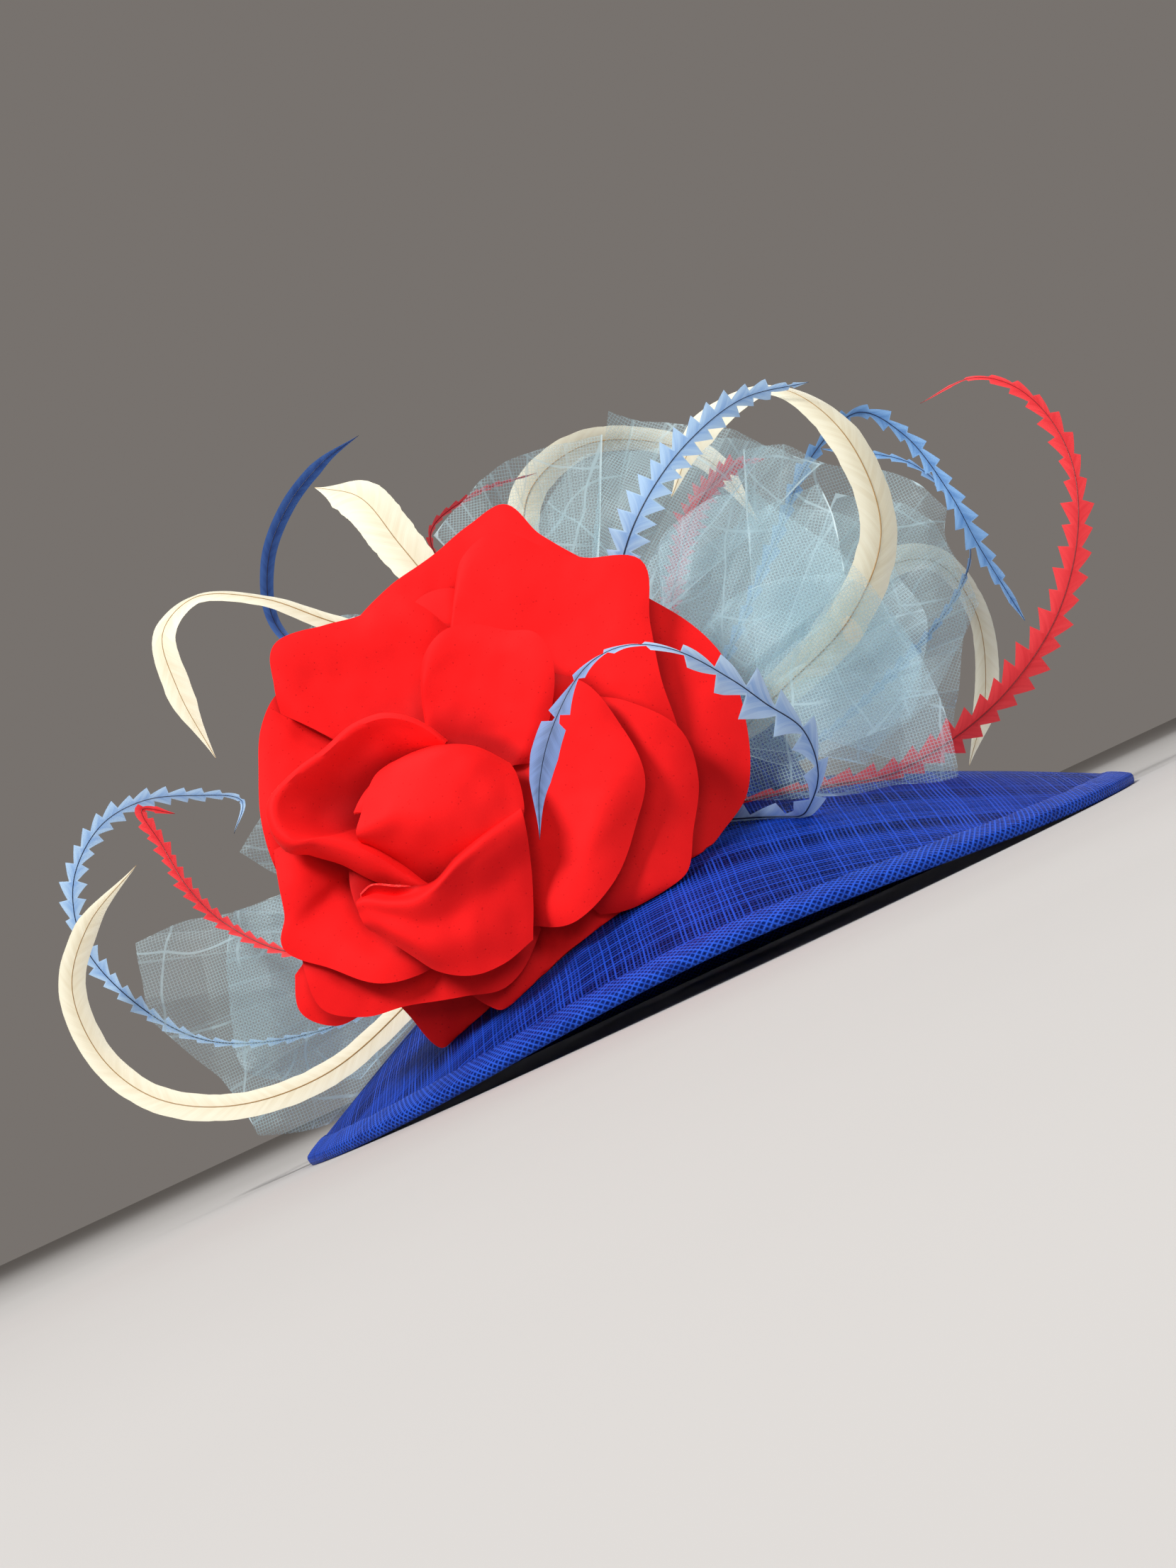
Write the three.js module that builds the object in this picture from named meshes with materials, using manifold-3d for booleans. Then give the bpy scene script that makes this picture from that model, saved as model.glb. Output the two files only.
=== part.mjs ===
// A race day hat: a wide woven straw brim and crown, a foam rose, net pouf and curled feathers.
// Millimetres, +Z up, the face side towards -Y. The crown's axis is vertical and the rim is level.

import * as THREE from "three";
import { mergeVertices } from "three/addons/utils/BufferGeometryUtils.js";
import Module from "manifold-3d";

const wasm = await Module();
wasm.setup();

// Driving dimensions
const GAP = 0.3;
const NECK = { halfWidth: 84, halfDepth: 99, height: 75 };
const CROWN = { height: 105, wall: 1.8, squareness: 2.5, sides: 40, steps: 5 };
const BRIM = { radius: 238, edgeHeight: 4.5, wall: 1.6, droop: 1.12, inset: 1, sides: 48, steps: 5 };
const ARCH = { rise: 12, narrowness: 6 };
const SEAT_DEPTH = 60;
const WELD = 1e-4;
const BINDING = { width: 9.5, wall: 1, lip: 2.2, foot: 3 };
const TRIM = { turn: 25, height: 110 };
const ROSE = { x: -92, y: -14, z: 150, lean: -10, domeRadius: 300, thickness: 2.2 };
const STACK = { postRadius: 8, rootRadius: 9, pitch: 2.6, spread: 0.05, across: 7, along: 5 };
const LIP = { liftPower: 2.5, waves: 1.5 };
const BUD = { x: -4, y: 2, radius: 36, base: 31, height: 20, sides: 20, steps: 5 };
const PAD = { radius: 50, edge: 12, depth: 34, stemRadius: 26, stemStart: 27, stemLength: 110, sides: 18 };
const NET = { thickness: 1, gather: 14, pleatFade: 1.2, across: 8, along: 5 };
const QUILL = { thickness: 1.2, smoothSteps: 18, notch: 0.4 };

const COLOURS = {
  straw: 0x1a3cc0,
  binding: 0x2a55d8,
  rose: 0xff251f,
  net: 0xa4c4cc,
  ivory: 0xf0e8cd,
  paleBlue: 0x8fb8e8,
  red: 0xfa2e2e,
};

const hat = new THREE.Group();
const trim = new THREE.Group();
trim.position.z = TRIM.height;
trim.rotation.set(Math.PI / 2, THREE.MathUtils.degToRad(TRIM.turn), 0, "YXZ");
hat.add(trim);

// Gives each row of numbers the names of its columns.
function table(columns, rows) {
  const names = columns.split(" ");
  return rows.map((row) => Object.fromEntries(names.map((name, i) => [name, row[i]])));
}

function material(colour, roughness) {
  return new THREE.MeshStandardMaterial({ color: colour, roughness, metalness: 0, side: THREE.DoubleSide });
}

function addPiece(parent, name, geometry, look) {
  const mesh = new THREE.Mesh(geometry, look);
  mesh.name = name;
  parent.add(mesh);
  return mesh;
}

function indexedGeometry(position, index) {
  const geometry = new THREE.BufferGeometry();
  geometry.setAttribute("position", new THREE.Float32BufferAttribute(position, 3));
  geometry.setIndex(index);
  return geometry;
}

// A closed ring round the crown's axis. loopAt(turn) gives its section there as [radius, height] points.
function ringBody(loopAt, sides) {
  const position = [];
  const index = [];
  const count = loopAt(0).length;
  for (let side = 0; side < sides; side += 1) {
    const turn = (side / sides) * 2 * Math.PI;
    for (const [radius, height] of loopAt(turn)) {
      position.push(radius * Math.cos(turn), radius * Math.sin(turn), height);
    }
    const here = side * count;
    const next = ((side + 1) % sides) * count;
    for (let i = 0; i < count; i += 1) {
      const j = (i + 1) % count;
      index.push(here + i, here + j, next + i, next + i, here + j, next + j);
    }
  }
  return indexedGeometry(position, index);
}

// A closed thin body on both sides of the surface pointAt(u, v), with u across and v along it.
function sheetBody(pointAt, across, along, thickness) {
  const wide = across + 1;
  const middle = [];
  for (let j = 0; j <= along; j += 1) {
    for (let i = 0; i <= across; i += 1) {
      middle.push(pointAt(i / across, j / along));
    }
  }
  const at = (i, j) => middle[j * wide + i];
  const front = [];
  const back = [];
  for (let j = 0; j <= along; j += 1) {
    for (let i = 0; i <= across; i += 1) {
      const du = at(Math.min(i + 1, across), j).clone().sub(at(Math.max(i - 1, 0), j));
      const dv = at(i, Math.min(j + 1, along)).clone().sub(at(i, Math.max(j - 1, 0)));
      const normal = du.cross(dv).normalize().multiplyScalar(thickness / 2);
      front.push(...at(i, j).clone().add(normal).toArray());
      back.push(...at(i, j).clone().sub(normal).toArray());
    }
  }
  const half = middle.length;
  const index = [];
  for (let j = 0; j < along; j += 1) {
    for (let i = 0; i < across; i += 1) {
      const a = j * wide + i;
      const b = a + 1;
      const c = a + wide;
      const d = c + 1;
      index.push(a, b, d, a, d, c);
      index.push(half + a, half + d, half + b, half + a, half + c, half + d);
    }
  }
  const rim = [];
  for (let i = 0; i < across; i += 1) rim.push(i);
  for (let j = 0; j < along; j += 1) rim.push(j * wide + across);
  for (let i = across; i > 0; i -= 1) rim.push(along * wide + i);
  for (let j = along; j > 0; j -= 1) rim.push(j * wide);
  rim.forEach((a, k) => {
    const b = rim[(k + 1) % rim.length];
    index.push(a, half + a, half + b, a, half + b, b);
  });
  return indexedGeometry([...front, ...back], index);
}

// Solids for cutting, in the hat's own frame
function solidOf(geometry, matrix) {
  const bare = new THREE.BufferGeometry();
  bare.setAttribute("position", geometry.getAttribute("position").clone());
  bare.setIndex(geometry.index);
  if (matrix) bare.applyMatrix4(matrix);
  const merged = mergeVertices(bare, WELD);
  return new wasm.Manifold(
    new wasm.Mesh({
      numProp: 3,
      vertProperties: new Float32Array(merged.getAttribute("position").array),
      triVerts: new Uint32Array(merged.index.array),
    }),
  );
}

function geometryOf(solid) {
  const mesh = solid.getMesh();
  return indexedGeometry(Array.from(mesh.vertProperties), Array.from(mesh.triVerts));
}

// Crown and brim
function neckRadius(turn) {
  return 1 / Math.hypot(Math.cos(turn) / NECK.halfWidth, Math.sin(turn) / NECK.halfDepth);
}

// How far the rim arches up from the floor. It is level but for the face side.
function rimLift(turn) {
  return ARCH.rise * Math.max(0, -Math.sin(turn)) ** ARCH.narrowness;
}

function brimHeight(radius, turn) {
  const inner = neckRadius(turn);
  const share = Math.max(0, (radius - inner) / (BRIM.radius - inner));
  const edge = BRIM.edgeHeight + rimLift(turn);
  return NECK.height + (edge - NECK.height) * share ** BRIM.droop;
}

function crownArc(radius, height, steps) {
  const points = [];
  for (let i = 0; i <= steps; i += 1) {
    const angle = ((1 - i / steps) * Math.PI) / 2;
    const power = 2 / CROWN.squareness;
    points.push(new THREE.Vector2(radius * Math.cos(angle) ** power, height * Math.sin(angle) ** power));
  }
  points[0].x = 0;
  points[steps].y = 0;
  return points;
}

function crownLathe(profile, sides) {
  const geometry = new THREE.LatheGeometry(profile.reverse(), sides);
  geometry.rotateX(Math.PI / 2);
  geometry.scale(NECK.halfWidth / NECK.halfDepth, 1, 1);
  geometry.translate(0, 0, NECK.height + BRIM.wall / 2 + GAP);
  return geometry;
}

function crownGeometry() {
  const outer = crownArc(NECK.halfDepth + CROWN.wall, CROWN.height, CROWN.steps);
  const inner = crownArc(NECK.halfDepth, CROWN.height - CROWN.wall, CROWN.steps);
  return crownLathe([...outer, ...inner.reverse()], CROWN.sides);
}

// The brim's surface from the neck to the rim, offset up or down
function brimLine(turn, offset) {
  const inner = neckRadius(turn) - BRIM.inset;
  const line = [];
  for (let i = 0; i <= BRIM.steps; i += 1) {
    const radius = inner + ((BRIM.radius - inner) * i) / BRIM.steps;
    line.push([radius, brimHeight(radius, turn) + offset]);
  }
  return line;
}

function brimGeometry() {
  const half = BRIM.wall / 2;
  return ringBody((turn) => [...brimLine(turn, half), ...brimLine(turn, -half).reverse()], BRIM.sides);
}

// A folded strip round the brim's cut edge, with a flat foot that the hat rests on
function bindingGeometry() {
  const inside = BRIM.wall / 2 + GAP;
  const outside = inside + BINDING.wall;
  return ringBody((turn) => {
    const start = BRIM.radius - BINDING.width;
    const end = BRIM.radius + GAP;
    const outer = end + BINDING.lip;
    const along = (radius, offset) => [radius, brimHeight(radius, turn) + offset];
    return [
      along(start, outside),
      along(end, outside),
      [outer, brimHeight(end, turn)],
      [outer - BINDING.wall, rimLift(turn)],
      [outer - BINDING.wall - BINDING.foot, rimLift(turn)],
      along(start, -outside),
      along(start, -inside),
      along(end, -inside),
      along(end, inside),
      along(start, inside),
    ];
  }, BRIM.sides);
}

// What the trimming is cut back from, so that it seats on the hat a small gap away
function seatSolid() {
  const half = BRIM.wall / 2;
  const dome = crownArc(NECK.halfDepth + CROWN.wall + GAP, CROWN.height + GAP, CROWN.steps);
  const foot = [new THREE.Vector2(dome.at(-1).x, -SEAT_DEPTH), new THREE.Vector2(0, -SEAT_DEPTH)];
  const crown = solidOf(crownLathe([...dome, ...foot], CROWN.sides));
  const brim = ringBody((turn) => {
    const line = brimLine(turn, half + GAP);
    return [...line, [BRIM.radius, -SEAT_DEPTH], [line[0][0], -SEAT_DEPTH]];
  }, BRIM.sides);
  const edge = ringBody((turn) => {
    const start = BRIM.radius - BINDING.width - GAP;
    const end = BRIM.radius + BINDING.lip + 2 * GAP;
    const top = half + BINDING.wall + 2 * GAP;
    return [
      [start, brimHeight(start, turn) + top],
      [end, brimHeight(end, turn) + top],
      [end, -SEAT_DEPTH],
      [start, -SEAT_DEPTH],
    ];
  }, BRIM.sides);
  return crown.add(solidOf(brim)).add(solidOf(edge));
}

const seat = seatSolid();

// Cuts a piece of the trimming back to its seat and returns it to its parent's frame.
function seated(geometry, parent) {
  parent.updateWorldMatrix(true, false);
  const cut = solidOf(geometry, parent.matrixWorld).subtract(seat);
  const bodies = cut.decompose().sort((a, b) => b.volume() - a.volume());
  return geometryOf(bodies[0]).applyMatrix4(parent.matrixWorld.clone().invert());
}

const straw = material(COLOURS.straw, 0.6);
addPiece(hat, "crown", crownGeometry(), straw);
addPiece(hat, "brim", brimGeometry(), straw);
addPiece(hat, "rim_binding", bindingGeometry(), material(COLOURS.binding, 0.5));

// Rose. Each petal starts at the post, lies on the petals below it and lifts towards its lip.
const rose = new THREE.Group();
rose.position.set(ROSE.x, ROSE.y, ROSE.z);
rose.rotation.x = THREE.MathUtils.degToRad(ROSE.lean);
trim.add(rose);

const petals = [
  { name: "petal_back_top", layer: 0, lift: 12, wave: 2, lip: table("angle reach", [
    [117, 100], [106, 111], [94, 126], [86, 147], [80, 161], [72, 148], [64, 144], [52, 145]]) },
  { name: "petal_lowest", layer: 0, lift: 6, wave: 2, lip: table("angle reach", [
    [254, 92], [263, 104], [272, 119], [279, 119], [288, 109], [297, 98]]) },
  { name: "petal_outer_right", layer: 1, lift: 12, wave: 2, lip: table("angle reach", [
    [46, 144], [29, 155], [15, 153], [2, 148], [-8, 135], [-17, 132], [-28, 114]]) },
  { name: "petal_back_small", layer: 1, lift: 6, wave: 0, lip: table("angle reach", [
    [102, 92], [95, 103], [87, 105], [80, 90]]) },
  { name: "petal_outer_left", layer: 1, lift: 10, wave: 2, lip: table("angle reach", [
    [140, 86], [148, 92], [158, 92], [175, 86], [194, 84], [210, 84]]) },
  { name: "petal_bottom_curl", layer: 1, lift: 4, wave: 0, lip: table("angle reach", [
    [232, 108], [239, 121], [246, 119], [253, 106]]) },
  { name: "petal_upper_right", layer: 2, lift: 14, wave: 3, lip: table("angle reach", [
    [86, 98], [85, 120], [78, 135], [68, 134], [60, 138], [51, 153], [40, 132], [27, 120], [15, 119]]) },
  { name: "petal_upper_left", layer: 2, lift: 14, wave: 3, lip: table("angle reach", [
    [153, 84], [147, 93], [138, 106], [125, 99], [112, 95], [104, 99], [96, 91], [87, 80]]) },
  { name: "petal_bottom_right", layer: 2, lift: 10, wave: 2, lip: table("angle reach", [
    [276, 86], [284, 104], [292, 114], [305, 117], [326, 114], [340, 124], [348, 118]]) },
  { name: "petal_bottom", layer: 3, lift: 8, wave: 3, lip: table("angle reach", [
    [230, 94], [237, 106], [245, 116], [254, 112], [264, 103], [279, 100], [290, 101], [307, 84]]) },
  { name: "petal_right", layer: 3, lift: 10, wave: 3, lip: table("angle reach", [
    [32, 88], [24, 102], [13, 120], [3, 124], [-9, 123], [-19, 125], [-29, 114], [-37, 98]]) },
  { name: "petal_lower_left", layer: 4, lift: 10, wave: 4, lip: table("angle reach", [
    [203, 80], [214, 85], [223, 92], [229, 103], [242, 98], [256, 97], [266, 91], [273, 84]]) },
  { name: "petal_inner_right", layer: 4, lift: 12, wave: 3, lip: table("angle reach", [
    [46, 76], [33, 86], [19, 91], [1, 99], [-12, 97], [-30, 97], [-45, 94], [-54, 82]]) },
  { name: "petal_centre_top", layer: 5, lift: 10, wave: 2, lip: table("angle reach", [
    [98, 44], [95, 60], [86, 73], [76, 78], [65, 80], [56, 85], [46, 80], [33, 66], [14, 46]]) },
  { name: "petal_left_cup", layer: 6, lift: 12, wave: 2, lip: table("angle reach", [
    [98, 34], [114, 42], [133, 50], [154, 54], [176, 60], [196, 74], [207, 67], [214, 54], [236, 42]]) },
  { name: "petal_inner_left", layer: 5, lift: 8, wave: 2, lip: table("angle reach", [
    [226, 54], [236, 64], [246, 72], [257, 73], [265, 83], [277, 88], [286, 84]]) },
  { name: "petal_inner_wrap", layer: 8, lift: 2, wave: 1, crest: 17.5, lip: table("angle reach from", [
    [252, 66, 46], [264, 80, 36], [276, 90, 26], [288, 93, 23], [304, 85, 22], [322, 60, 23], [341, 45, 28],
    [354, 39, 33]]) },
];

function petalGeometry({ layer, lift, wave, crest = 0, lip }) {
  const widest = Math.max(...lip.map(({ reach }) => reach));
  const edge = new THREE.CatmullRomCurve3(
    lip.map(({ angle, reach, from = STACK.rootRadius }) => new THREE.Vector3(angle, reach, from)),
  );
  return sheetBody((u, v) => {
    const { x: angle, y: reach, z: from } = edge.getPoint(1 - u);
    const turn = THREE.MathUtils.degToRad(angle);
    const radius = from + (reach - from) * v;
    const ripple = wave * Math.sin(u * LIP.waves * 2 * Math.PI) * v * v;
    const stacked = layer * (STACK.pitch + STACK.spread * radius) - radius ** 2 / (2 * ROSE.domeRadius);
    const lifted = lift * (reach / widest) ** 2 * v ** LIP.liftPower;
    return new THREE.Vector3(
      radius * Math.cos(turn),
      radius * Math.sin(turn),
      stacked + lifted + ripple + crest * (1 - v) ** 2,
    );
  }, STACK.across, STACK.along, ROSE.thickness);
}

const foam = material(COLOURS.rose, 0.9);
for (const petal of petals) {
  addPiece(rose, petal.name, seated(petalGeometry(petal), rose), foam);
}

function budGeometry() {
  const profile = [new THREE.Vector2(0, 0)];
  for (let i = 0; i < BUD.steps; i += 1) {
    const angle = (i / BUD.steps) * (Math.PI / 2);
    profile.push(new THREE.Vector2(BUD.radius * Math.cos(angle), BUD.height * Math.sin(angle)));
  }
  profile.push(new THREE.Vector2(0, BUD.height));
  const geometry = new THREE.LatheGeometry(profile, BUD.sides);
  geometry.rotateX(Math.PI / 2);
  geometry.translate(BUD.x, BUD.y, BUD.base);
  return geometry;
}
addPiece(rose, "rose_bud", budGeometry(), foam);

// The hidden pad behind the rose, with the post that its petals are fixed round and a stem to the crown
function padGeometry() {
  const under = -ROSE.thickness / 2 - GAP;
  const domePoint = (radius) => new THREE.Vector2(radius, under - radius ** 2 / (2 * ROSE.domeRadius));
  const profile = [
    new THREE.Vector2(0, -PAD.depth),
    new THREE.Vector2(PAD.stemRadius, -PAD.depth),
    new THREE.Vector2(PAD.radius, -PAD.edge),
    domePoint(PAD.radius),
    domePoint(PAD.radius / 2),
    domePoint(STACK.postRadius),
    new THREE.Vector2(STACK.postRadius, BUD.base - GAP),
    new THREE.Vector2(0, BUD.base - GAP),
  ];
  const disc = new THREE.LatheGeometry(profile, PAD.sides).rotateX(Math.PI / 2);
  rose.updateWorldMatrix(true, false);
  const start = new THREE.Vector3(0, 0, -PAD.stemStart).applyMatrix4(rose.matrixWorld);
  const inward = new THREE.Vector3(0, 0, NECK.height + CROWN.height / 2).sub(start).normalize();
  const stem = new THREE.CylinderGeometry(PAD.stemRadius, PAD.stemRadius, PAD.stemLength, PAD.sides);
  stem.translate(0, PAD.stemLength / 2, 0);
  stem.applyQuaternion(new THREE.Quaternion().setFromUnitVectors(new THREE.Vector3(0, 1, 0), inward));
  stem.translate(start.x, start.y, start.z);
  const joined = solidOf(disc, rose.matrixWorld).add(solidOf(stem));
  return geometryOf(joined).applyMatrix4(rose.matrixWorld.clone().invert());
}
addPiece(rose, "rose_pad", seated(padGeometry(), rose), foam);

// Net pouf. Each lobe fans out from a gather beside the crown to its hem.
const lobes = [
  { name: "net_front", gather: [22, 22, 84], bulge: 12, pleat: 5, hem: table("x y z", [
    [15, 125, 88], [55, 175, 70], [84, 155, 86], [106, 130, 96], [126, 95, 105],
    [143, 55, 105], [160, 8, 95], [110, -2, 112], [60, -8, 120]]) },
  { name: "net_top", gather: [-28, 60, -5], bulge: -4, pleat: 6, hem: table("x y z", [
    [-115, 165, -25], [-95, 184, -22], [-60, 200, -18], [-20, 225, -12], [45, 205, -8], [100, 198, -10]]) },
  { name: "net_right", gather: [70, 45, -10], bulge: 6, pleat: 6, hem: table("x y z", [
    [108, 188, -22], [140, 186, -25], [170, 170, -25], [190, 115, -22], [182, 60, -15], [165, 18, -5]]) },
  { name: "net_left_upper", gather: [-75, 0, -5], bulge: 4, pleat: 4, hem: table("x y z", [
    [-170, 120, -5], [-205, 95, 0], [-214, 55, 5], [-200, 25, 8]]) },
  { name: "net_left", gather: [-74, -29, 10], bulge: 4, pleat: 4, hem: table("x y z", [
    [-205, 18, 0], [-228, 4, 4], [-225, -25, 6], [-208, -55, 6]]) },
  { name: "net_lower_left", gather: [-76, -72, 12], bulge: 4, pleat: 6, hem: table("x y z", [
    [-215, -62, -6], [-275, -80, -10], [-262, -135, -12], [-207, -180, -12], [-150, -150, -5]]) },
];

function lobeGeometry({ gather, bulge, pleat, hem }) {
  const edge = new THREE.CatmullRomCurve3(hem.map(({ x, y, z }) => new THREE.Vector3(x, y, z)));
  const root = new THREE.Vector3(...gather);
  const spread = edge.getPoint(1).sub(edge.getPoint(0)).normalize();
  return sheetBody((u, v) => {
    const start = root.clone().addScaledVector(spread, (u - 0.5) * NET.gather);
    const point = start.lerp(edge.getPoint(u), v);
    const fold = (u * NET.across) % 2 < 1 ? 1 : -1;
    point.z += bulge * Math.sin(Math.PI * v) + (fold * pleat * v * (NET.pleatFade - v)) / 2;
    return point;
  }, NET.across, NET.along, NET.thickness);
}

const net = material(COLOURS.net, 0.8);
for (const lobe of lobes) {
  addPiece(trim, lobe.name, seated(lobeGeometry(lobe), trim), net);
}

// Feathers. x, y and z follow the quill from root to tip, wide is the vane and face its turn from the front.
const ivory = { look: material(COLOURS.ivory, 0.7), teeth: 0 };
const paleBlue = { look: material(COLOURS.paleBlue, 0.6), teeth: 13 };
const red = { look: material(COLOURS.red, 0.6), teeth: 15 };
const ROUTE = "x y z wide face";

const feathers = [
  { name: "ivory_feather_front", kind: ivory, route: table(ROUTE, [
    [40, 8, 68, 8, 0], [72, 40, 88, 22, 10], [112, 82, 88, 25, 20], [133, 130, 86, 25, 30], [112, 186, 82, 24, 30],
    [75, 211, 68, 18, 60], [36, 192, 50, 20, 20], [20, 155, 40, 14, 10]]) },
  { name: "ivory_feather_right", kind: ivory, route: table(ROUTE, [
    [70, 30, -30, 8, 0], [110, 95, -50, 20, 10], [140, 130, -62, 22, 30], [172, 136, -72, 22, 60],
    [196, 108, -80, 22, 60], [201, 60, -80, 20, 40], [190, 18, -70, 10, 30]]) },
  { name: "ivory_feather_top", kind: ivory, route: table(ROUTE, [
    [-35, 40, -50, 8, 0], [-62, 120, -55, 22, 10], [-66, 185, -62, 25, 20], [-36, 215, -68, 25, 40],
    [0, 221, -70, 24, 50], [42, 205, -68, 22, 30], [70, 165, -60, 12, 10]]) },
  { name: "ivory_feather_upper_left", kind: ivory, route: table(ROUTE, [
    [-45, 35, 25, 8, 0], [-95, 92, 34, 22, 10], [-126, 130, 24, 28, 10], [-150, 163, 8, 28, 20],
    [-174, 177, -12, 14, 40]]) },
  { name: "ivory_feather_left", kind: ivory, route: table(ROUTE, [
    [-45, 30, 40, 8, 0], [-112, 74, 54, 18, 20], [-170, 92, 60, 20, 40], [-205, 104, 62, 20, 60],
    [-242, 104, 66, 20, 60], [-257, 84, 72, 20, 30], [-247, 54, 76, 20, 10], [-226, 20, 80, 8, 0]]) },
  { name: "ivory_feather_lower_left", kind: ivory, route: table(ROUTE, [
    [-62, -50, 40, 8, 0], [-95, -88, 56, 20, 20], [-118, -117, 60, 24, 30], [-162, -155, 46, 26, 30],
    [-220, -174, 26, 26, 30], [-266, -170, 14, 25, 20], [-298, -148, 6, 24, 20], [-315, -110, 4, 22, 10],
    [-305, -74, 6, 20, 10], [-276, -40, 8, 8, 0]]) },
  { name: "blue_feather_front", kind: paleBlue, route: table(ROUTE, [
    [-10, 50, 50, 6, 0], [-8, 90, 82, 14, 0], [-4, 118, 92, 22, 0], [7, 145, 96, 22, 0], [28, 177, 88, 20, 10],
    [56, 200, 86, 15, 30], [90, 209, 84, 6, 30]]) },
  { name: "blue_feather_right", kind: paleBlue, route: table(ROUTE, [
    [40, 50, -35, 6, 0], [72, 140, -42, 14, 20], [94, 200, -42, 16, 40], [120, 226, -40, 14, 60],
    [146, 214, -36, 14, 40], [171, 180, -32, 16, 20], [186, 145, -34, 16, 10], [214, 100, -34, 7, 0]]) },
  { name: "blue_feather_loop", kind: paleBlue, route: table(ROUTE, [
    [70, 5, -38, 6, 0], [115, 40, -44, 12, 20], [165, 90, -50, 14, 40], [184, 118, -52, 14, 60],
    [190, 138, -54, 14, 70], [184, 162, -56, 14, 60], [158, 190, -58, 12, 40], [105, 200, -60, 6, 20]]) },
  { name: "blue_feather_over_rose", kind: paleBlue, route: table(ROUTE, [
    [8, -12, 86, 6, 0], [40, -27, 112, 20, 30], [70, -20, 134, 24, 40], [82, 4, 150, 22, 50], [75, 26, 162, 22, 30],
    [56, 36, 176, 26, 20], [40, 46, 186, 22, 20], [11, 60, 200, 12, 50], [-10, 60, 205, 8, 60],
    [-27, 50, 210, 14, 40], [-42, 25, 210, 18, 20], [-47, 0, 208, 17, 10], [-46, -25, 206, 5, 0]]) },
  { name: "blue_feather_lower_left", kind: paleBlue, route: table(ROUTE, [
    [-60, -50, -10, 6, 0], [-110, -95, -25, 12, 20], [-160, -126, -36, 14, 30], [-215, -137, -36, 16, 30],
    [-252, -134, -32, 18, 20], [-290, -112, -26, 20, 10], [-316, -80, -22, 20, 0], [-321, -45, -18, 20, 0],
    [-305, -15, -14, 20, 10], [-280, 0, -10, 18, 20], [-250, 2, -8, 16, 30], [-222, -2, -8, 12, 20],
    [-226, -22, -8, 5, 0]]) },
  { name: "blue_feather_upper_left", kind: paleBlue, route: table(ROUTE, [
    [-55, 20, -30, 6, 60], [-150, 62, -28, 10, 70], [-200, 92, -26, 10, 70], [-206, 128, -24, 10, 75],
    [-195, 160, -22, 10, 75], [-175, 185, -20, 9, 70], [-155, 200, -20, 5, 60]]) },
  { name: "red_feather_right", kind: red, route: table(ROUTE, [
    [0, -34, 80, 5, 0], [46, -24, 92, 7, 10], [88, -8, 90, 10, 10], [118, 2, 82, 16, 20], [160, 25, 62, 24, 20],
    [194, 55, 44, 25, 20], [221, 95, 30, 24, 10], [234, 140, 20, 23, 10], [233, 180, 12, 22, 10],
    [220, 210, 4, 20, 20], [202, 227, -2, 16, 30], [182, 232, -8, 8, 40], [155, 220, -16, 5, 40]]) },
  { name: "red_feather_left", kind: red, route: table(ROUTE, [
    [-60, -38, 38, 5, 0], [-120, -78, 50, 12, 20], [-176, -89, 46, 16, 30], [-216, -74, 32, 16, 40],
    [-241, -55, 24, 14, 40], [-261, -30, 14, 14, 30], [-274, -10, 10, 12, 20], [-256, -12, 10, 5, 10]]) },
  { name: "red_feather_top", kind: red, route: table(ROUTE, [
    [5, 40, -25, 5, 0], [18, 100, -32, 14, 10], [25, 132, -34, 20, 10], [33, 162, -38, 22, 10],
    [46, 185, -42, 22, 20], [64, 201, -46, 16, 30], [90, 206, -50, 6, 30]]) },
  { name: "red_feather_upper_left", kind: red, route: table(ROUTE, [
    [-50, 40, -34, 5, 40], [-98, 112, -38, 10, 60], [-116, 148, -38, 10, 70], [-90, 170, -36, 10, 75],
    [-56, 181, -34, 5, 70]]) },
];

function featherGeometry({ kind, route }) {
  const curve = new THREE.CatmullRomCurve3(route.map(({ x, y, z }) => new THREE.Vector3(x, y, z)));
  const steps = kind.teeth ? kind.teeth * 2 : QUILL.smoothSteps;
  const forward = new THREE.Vector3(0, 0, 1);
  return sheetBody((u, v) => {
    const place = v * (route.length - 1);
    const row = Math.min(Math.floor(place), route.length - 2);
    const blend = place - row;
    const wide = THREE.MathUtils.lerp(route[row].wide, route[row + 1].wide, blend);
    const face = THREE.MathUtils.degToRad(THREE.MathUtils.lerp(route[row].face, route[row + 1].face, blend));
    const notched = kind.teeth && Math.round(v * steps) % 2 === 0 && v > 0 && v < 1;
    const half = (u - 0.5) * wide * (notched ? QUILL.notch : 1);
    const quill = curve.getTangent(v);
    const side = quill.clone().cross(forward).normalize().applyAxisAngle(quill, face);
    return curve.getPoint(v).addScaledVector(side, half);
  }, 1, steps, QUILL.thickness);
}

for (const feather of feathers) {
  addPiece(trim, feather.name, seated(featherGeometry(feather), trim), feather.kind.look);
}

// The origin is the middle of the hat's footprint, on the surface it rests on.
hat.updateMatrixWorld(true);
const box = new THREE.Box3().setFromObject(hat, true);
const middle = box.getCenter(new THREE.Vector3());
hat.position.set(-middle.x, -middle.y, -box.min.z);

export default hat;
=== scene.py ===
import math
import random

import bmesh
import bpy
from mathutils import Matrix, Vector, noise


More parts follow.
